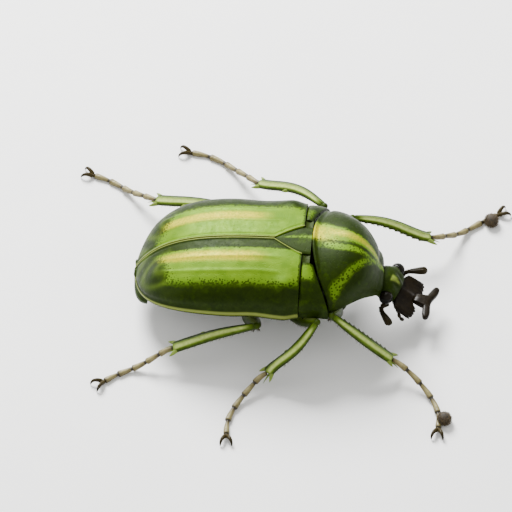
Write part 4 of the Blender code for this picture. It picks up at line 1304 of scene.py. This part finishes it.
@once("hair")
def hair_finish(name, colours):
    """Tawny bristles, each of its own tone."""
    t = Tree(name, colours)
    colour = t.mix(t.mark("tone"), "hair_dark", "hair")
    rough = t.ranged(t.noise(0.3, 2), 0.2, 0.8, 0.4, 0.6)
    return t.finish(colour, rough, t.bump(t.noise(0.08, 2), 0.004))


def floor_finish(name, colours):
    """Pale matt board, faintly mottled."""
    t = Tree(name, colours)
    cloud = t.noise(30, 3)
    colour = t.mix(t.ranged(cloud, 0.3, 0.7, 0.0, 0.35), "floor", "floor_shade")
    return t.finish(colour, t.ranged(cloud, 0.2, 0.8, 0.75, 0.85), t.bump(t.noise(1.5, 3), 0.01), specular=0.2)


# ---------------------------------------------------------------- what a user may change

def tint(name, text, default):
    return FloatVectorProperty(
        name=name, description=text, default=default, subtype="COLOR", size=3, min=0, max=1)


def amount(name, text, default, kind=FloatProperty, **more):
    return kind(name=name, description=text, default=default, **more)


class BeetleColours(bpy.types.PropertyGroup):
    """The colours of the shell, limbs, hairs and floor."""

    leaf: tint("Leaf", "Main green of the shell", (0.072, 0.15, 0.0025))
    lime: tint("Lime", "Lighter green that clouds the shell", (0.11, 0.205, 0.006))
    # Painted highlight: this golden stripe stands in for the shine of shield and wing covers.
    gold: tint("Gold", "The stripe on shield and wing covers", (0.4, 0.34, 0.008))
    # Dark green of the margins, deepened where it also stands for painted shade.
    moss: tint("Moss", "Dark green of the margins", (0.0045, 0.0085, 0.0006))
    # Paler streaks curled through the painted shade over the tail.
    moss_light: tint("Light moss", "Paler streaks in the dark green", (0.04, 0.065, 0.006))
    # Painted highlight: the fine pale line along the seam and side beads, and on top of the skull.
    line: tint("Line", "The fine pale line along seams and edges", (0.2, 0.24, 0.05))
    # Deep green is also mixed into the shell's dark marks, where it is painted shade.
    deep: tint("Deep green", "Darkest green, also of the underside", (0.0014, 0.003, 0.0003))
    leg: tint("Leg", "Green of thighs and shins", (0.045, 0.08, 0.004))
    leg_light: tint("Light leg", "Lighter green that clouds the legs", (0.085, 0.145, 0.01))
    # Painted highlight along the top of each thigh and shin.
    leg_highlight: tint("Pale ridge", "Along the top of each shin", (0.42, 0.52, 0.14))
    tan: tint("Tan", "Foot joints", (0.14, 0.115, 0.042))
    tan_dark: tint("Dark tan", "Clouds on the foot joints", (0.06, 0.045, 0.014))
    # Painted highlight on the top middle of each foot joint.
    tan_highlight: tint("Pale tan", "The light middle of each foot joint", (0.27, 0.235, 0.1))
    bark: tint("Bark", "Dark brown of joints, claws and horn", (0.005, 0.003, 0.001))
    horn: tint("Horn", "Dark brown of horn and feelers", (0.009, 0.006, 0.002))
    brush: tint("Brush", "Felt of the foot brushes", (0.05, 0.033, 0.012))
    eye: tint("Eye", "The eye's ground colour", (0.002, 0.002, 0.0015))
    eye_glint: tint("Eye glint", "Brown light in the eye", (0.008, 0.006, 0.003))
    hair: tint("Hair", "Light bristles", (0.1, 0.066, 0.02))
    hair_dark: tint("Dark hair", "Dark bristles", (0.03, 0.018, 0.006))
    floor: tint("Floor", "The board under the beetle", (0.94, 0.94, 0.93))
    floor_shade: tint("Floor shade", "Faint mottling of the board", (0.88, 0.88, 0.87))


class BeetleSizes(bpy.types.PropertyGroup):
    """How thick and long the hairs are, and how the beetle is lit and looked at."""

    hair_length: amount("Hair length", "Usual length of a chest bristle, in millimetres", 0.8, min=0.2, max=2)
    hair_width: amount("Hair width", "Radius of a bristle at its root, in millimetres", 0.028,
                       min=0.01, max=0.1)
    belly_hairs: amount("Belly hairs", "Bristles under the chest", 1500, IntProperty, min=0, max=6000)
    pad_hairs: amount("Brush hairs", "Bristles on each foot brush", 900, IntProperty, min=0, max=3000)
    azimuth: amount("Azimuth", "Where the camera stands, turned left from the right side",
                    math.radians(5), subtype="ANGLE")
    elevation: amount("Elevation", "How high the camera looks from", math.radians(50), subtype="ANGLE")
    frame_width: amount("Frame width", "Width that the picture takes in, in millimetres", 81.27, min=10)
    lens: amount("Lens", "Focal length, in millimetres", 400, min=20, subtype="DISTANCE_CAMERA")
    key: amount("Key light", "Power of the main light, in watts", 9.5, min=0)
    fill: amount("Fill light", "Power of each of the two weaker lights, in watts", 0.35, min=0)
    sky: amount("Sky", "Strength of the even light all round", 0.85, min=0)


# ---------------------------------------------------------------- operators

class Build:
    """What the beetle's operators share."""

    bl_options = {"REGISTER", "UNDO"}

    def execute(self, context):
        self.make(context.scene.beetle_sizes)
        return {"FINISHED"}


class BuildWingCovers(Build, bpy.types.Operator):
    """Lays the two wing covers over the hind body"""

    bl_idname = "beetle.wing_covers"
    bl_label = "Wing Covers"

    def make(self, sizes):
        for side, sign in SIDES:
            piece(f"wing_cover_{side}", [wing_cover(sign)], "shell", [f"elytron_{side}"], TRUNK)


class BuildShoulders(Build, bpy.types.Operator):
    """Fits the triangle, the collars and the shoulder plates between wing covers and neck shield"""

    bl_idname = "beetle.shoulders"
    bl_label = "Shoulder Plates"

    def make(self, sizes):
        piece("triangle_plate", [scutellum_skin()], "shell", ["scutellum"], TRUNK)
        for side, sign in SIDES:
            collar, plate = [collar_skin(sign)], [shoulder_plate(sign)]
            piece(f"collar_plate_{side}", collar, "shell_dark", [f"collar_{side}"], TRUNK)
            piece(f"shoulder_plate_{side}", plate, "shell", [f"epimeron_{side}"], TRUNK)


class BuildNeckShield(Build, bpy.types.Operator):
    """Sets the neck shield over the fore body"""

    bl_idname = "beetle.neck_shield"
    bl_label = "Neck Shield"

    def make(self, sizes):
        piece("neck_shield", [neck_shield()], "shell", ["pronotum"], NECK)


class BuildUnderside(Build, bpy.types.Operator):
    """Makes the chest plates, the belly rings and the last plate behind them"""

    bl_idname = "beetle.underside"
    bl_label = "Underside"

    def make(self, sizes):
        piece("chest_plates", chest(), "shell_dark", ["thorax"], TRUNK)
        piece("fore_chest", under_neck(), "shell_dark", ["prosternum"])
        piece("belly_rings", abdomen_skin(), "shell_dark", ["abdomen"], TRUNK)
        piece("tail_plate", pygidium_skin(), "shell", ["pygidium"], TRUNK)


class BuildHead(Build, bpy.types.Operator):
    """Makes the skull, eyes, face plate and horn"""

    bl_idname = "beetle.head"
    bl_label = "Head and Horn"

    def make(self, sizes):
        piece("skull", skull(), "shell", ["head"], HEAD)
        for side, _ in SIDES:
            piece(f"eyeball_{side}", [eye_skin(side)], "eye", [f"eye_{side}"])
        piece("face_plate", face_plate(), "horn_brown", ["clypeus"])
        piece("t_horn", horn_skin(), "horn_brown", ["horn"])


class BuildFeelers(Build, bpy.types.Operator):
    """Makes the feelers with their leaved clubs, the jaws and the palps"""

    bl_idname = "beetle.feelers"
    bl_label = "Feelers and Mouth"

    def make(self, sizes):
        for side, sign in SIDES:
            nodes = [f"antenna_{side}", f"antenna_club_{side}"]
            piece(f"feeler_{side}", feeler(side, sign), "horn_brown", nodes)
            palp = f"palp_{side}"
            piece(f"mouth_palp_{side}", palp_skin(palp), "horn_brown", [palp])
        piece("jaws", jaws(), "horn_brown", ["mouthparts"])


class BuildLegs(Build, bpy.types.Operator):
    """Makes the hips, thighs and shins of the six legs"""

    bl_idname = "beetle.legs"
    bl_label = "Legs"

    def make(self, sizes):
        for pair, _, sign, leg in LEGS:
            hip = [box_ball(f"coxa_{leg}", 1.02, edge=0.4)]
            piece(f"hip_{leg}", hip, "shell_dark", [f"coxa_{leg}"])
            piece(f"thigh_{leg}", thigh_skins(leg, sign), "leg_shell", [f"femur_{leg}"])
            piece(f"shin_{leg}", shin_skins(pair, sign, leg), "leg_shell", [f"tibia_{leg}"])


class BuildFeet(Build, bpy.types.Operator):
    """Makes the jointed feet, their claws and the brushes of the forefeet"""

    bl_idname = "beetle.feet"
    bl_label = "Feet"

    def make(self, sizes):
        for _, _, _, leg in LEGS:
            piece(f"foot_{leg}", foot_skins(leg), "tarsus_brown", [f"tarsus_{leg}"])
            piece(f"hooks_{leg}", claw_skins(leg), "horn_brown", [f"claws_{leg}"])
        for side, _ in SIDES:
            pad = f"pad_fore_{side}"
            piece(f"foot_brush_{side}", [box_ball(pad, 0.96, 60, 90)], "pad", [pad])


class BuildHairs(Build, bpy.types.Operator):
    """Sets bristles on the foot brushes, limbs, mouth and chest"""

    bl_idname = "beetle.hairs"
    bl_label = "Hairs"

    def make(self, sizes):
        rng = np.random.default_rng(HAIR_SEED)
        self.brush_hairs(sizes, rng)
        self.limb_hairs(sizes, rng)
        self.chest_hairs(sizes, rng)
        self.mouth_hairs(sizes, rng)

    def brush_hairs(self, sizes, rng):
        """Bristles out of each foot brush and down: a place on it is a height and a turn."""
        for number, (side, _) in enumerate(SIDES):
            low, high = box_mm(f"pad_fore_{side}")
            rise = rng.uniform(-0.75, 0.85, sizes.pad_hairs)
            turn = rng.uniform(0, 2 * math.pi, sizes.pad_hairs)
            out = xyz(np.sqrt(1 - rise**2) * np.cos(turn), np.sqrt(1 - rise**2) * np.sin(turn), rise)
            roots = (low + high) / 2 + out * (high - low) / 2 * 0.93
            sheet = tile(number, len(SIDES), turn / (2 * math.pi), (rise + 1) / 2)
            lie = out * (1, 1, 0.3) - (0, 0, 0.5)
            hair_coat(f"brush_hairs_{side}", roots, lie, 0.55 * sizes.hair_length,
                      sizes.hair_width, sheet, 0.15)

    def limb_hairs(self, sizes, rng):
        """Bristles along the lower edges of thighs and shins, leaning down the limb."""
        rows, count = 90, LIMB_HAIRS
        roots, lies, sheet = [], [], []
        for number, (pair, _, _, leg) in enumerate(LEGS):
            for limb, path in enumerate((thigh_path(leg, rows), shin_path(leg, rows))):
                u = run_along(path)
                wide = thigh_width(u)
                deep = THIGH_FLATNESS * wide
                if limb:
                    wide, deep = shin_shape(pair, u)
                ahead, across, above = directions(path, UP)
                pick = rng.integers(8, rows - 6, count)
                angle = rng.choice([1.35, 1.62], count) * math.pi + rng.normal(0, 0.12, count)
                out = np.cos(angle)[:, None] * across[pick] + np.sin(angle)[:, None] * above[pick]
                at = path[pick] + (np.cos(angle) * wide[pick])[:, None] * across[pick]
                roots.append(at + (np.sin(angle) * deep[pick] * 0.95)[:, None] * above[pick])
                lies.append(out + 1.1 * ahead[pick])
                sheet.append(tile(number * 2 + limb, 2 * len(LEGS), u[pick], (angle / (2 * math.pi)) % 1))
        hair_coat("limb_hairs", np.vstack(roots), np.vstack(lies), 0.8 * sizes.hair_length,
                  sizes.hair_width, np.vstack(sheet), 0.1)

    def chest_hairs(self, sizes, rng):
        """Bristles under the chest, leaning back: a place on it is a length and an angle."""
        count, back, front = sizes.belly_hairs, -10.3, 1.2
        x, turn = rng.uniform(back, front, count), rng.uniform(0.12, 0.88, count) * math.pi
        along = (x - back) / (front - back)
        places = under_curve(x, turn, *chest_size(x), rim(x) - SEAM)
        lie = xyz(-1.0, np.sign(places[:, 1]) * 0.4, -0.45)
        hair_coat("chest_hairs", carry(TRUNK, places), lie, sizes.hair_length, sizes.hair_width,
                  tile(0, 1, along, turn / math.pi), 0.1)

    def mouth_hairs(self, sizes, rng):
        """Bristles under the chin and the jaws, leaning forward."""
        t, side = rng.uniform(0, 1, MOUTH_HAIRS), rng.uniform(-1, 1, MOUTH_HAIRS)
        at = xyz(CAPSULE_LENGTH + 1.2 + 1.5 * t, 1.7 * side * (1 - 0.3 * t), -1.55 - 0.2 * t)
        lie = carry(HEAD, xyz(0.9 + 0 * t, 0.25 * side, -0.5)) - carry(HEAD, np.zeros(3))
        hair_coat("mouth_hairs", carry(HEAD, at), lie, 1.1 * sizes.hair_length, sizes.hair_width,
                  tile(0, 1, t, (side + 1) / 2), 0.1)


FLOOR_REACH = 1500
WHITE = (1.0, 1.0, 0.98, 1.0)
# The lamps: name, place seen from the middle of the beetle, whose power, and width in metres.
LAMPS = [
    ("key", (-160, 330, 330), "key", 0.26),
    ("fill", (240, -330, 260), "fill", 0.40),
    ("edge", (-330, -40, 160), "fill", 0.25),
]
# From the collar to the middle of the view: back along the body, then left and up as the camera sees it.
AIM_BACK, AIM_LEFT, AIM_UP = 1.29, 6.19, 7.46


class BuildStage(Build, bpy.types.Operator):
    """Sets the pale floor, the soft lights and the camera"""

    bl_idname = "beetle.stage"
    bl_label = "Stage"

    def make(self, sizes):
        scene = bpy.context.scene
        count = 9
        reach = np.linspace(-FLOOR_REACH, FLOOR_REACH, count)
        grid = xyz(reach[:, None], reach[None], 0)
        index = np.arange(count**2).reshape(count, count)
        quads = np.stack([index[:-1, :-1], index[1:, :-1], index[1:, 1:], index[:-1, 1:]], -1).reshape(-1, 4)
        mesh = put_mesh("floor", grid.reshape(-1, 3), quads, np.zeros((0, 3), int), {})
        floor = bpy.data.objects.new("floor", mesh)
        floor.data.materials.append(floor_finish("floor_board", scene.beetle_colours))
        scene.collection.objects.link(floor)
        world = bpy.data.worlds.new("studio")
        world.use_nodes = True
        sky = world.node_tree.nodes["Background"].inputs
        sky["Color"].default_value, sky["Strength"].default_value = WHITE, sizes.sky
        scene.world = world
        middle = np.array([BASE[0] - 4, BASE[1], 8.0])
        for name, place, power, width in LAMPS:
            self.lamp(name, middle + place, middle, getattr(sizes, power), width)
        self.camera(sizes)

    def lamp(self, name, at, target, power, width):
        light = bpy.data.lights.new(name, "AREA")
        light.shape, light.size, light.energy = "DISK", width, power
        lamp = bpy.data.objects.new(name, light)
        lamp.matrix_world = self.looking(at, target)
        bpy.context.scene.collection.objects.link(lamp)

    def looking(self, at, target):
        """A frame at one point whose -Z axis looks at another."""
        back = unit(at - target)
        right = unit(np.cross(UP, back))
        turn = np.eye(4)
        turn[:3, :3] = np.stack([right, np.cross(back, right), back], axis=1)
        turn[:3, 3] = at * MM
        return Matrix(turn)

    def camera(self, sizes):
        """The camera stands on the beetle's right, turned by the azimuth and raised by the elevation."""
        a, e = sizes.azimuth, sizes.elevation
        back = np.array([math.sin(a) * math.cos(e), -math.cos(a) * math.cos(e), math.sin(e)])
        right = np.array([math.cos(a), math.sin(a), 0])
        above = np.cross(back, right)
        middle = np.array([BASE[0] - AIM_BACK, BASE[1], 0]) - AIM_LEFT * right + AIM_UP * above
        view = bpy.data.cameras.new("camera")
        view.lens, view.sensor_width, view.clip_start = sizes.lens, 36.0, 0.01
        camera = bpy.data.objects.new("camera", view)
        distance = sizes.frame_width * sizes.lens / view.sensor_width
        camera.matrix_world = self.looking(middle + back * distance, middle)
        bpy.context.scene.collection.objects.link(camera)
        bpy.context.scene.camera = camera


STEPS = [
    BuildWingCovers, BuildShoulders, BuildNeckShield, BuildUnderside, BuildHead,
    BuildFeelers, BuildLegs, BuildFeet, BuildHairs, BuildStage,
]


class BeetlePanel(bpy.types.Panel):
    """Lists the beetle's operators, sizes and colours"""

    bl_idname = "BEETLE_PT_panel"
    bl_label = "Horned Flower Beetle"
    bl_space_type = "VIEW_3D"
    bl_region_type = "UI"
    bl_category = "Beetle"

    def draw(self, context):
        for step in STEPS:
            self.layout.operator(step.bl_idname)
        for group in (context.scene.beetle_sizes, context.scene.beetle_colours):
            column = self.layout.column()
            for key in type(group).__annotations__:
                column.prop(group, key)


CLASSES = [BeetleColours, BeetleSizes, *STEPS, BeetlePanel]


def register():
    for item in CLASSES:
        bpy.utils.register_class(item)
    bpy.types.Scene.beetle_colours = PointerProperty(type=BeetleColours)
    bpy.types.Scene.beetle_sizes = PointerProperty(type=BeetleSizes)


def unregister():
    del bpy.types.Scene.beetle_sizes
    del bpy.types.Scene.beetle_colours
    for item in reversed(CLASSES):
        bpy.utils.unregister_class(item)


def main():
    register()
    for step in STEPS:
        group, name = step.bl_idname.split(".")
        getattr(getattr(bpy.ops, group), name)()


if __name__ == "__main__":
    main()
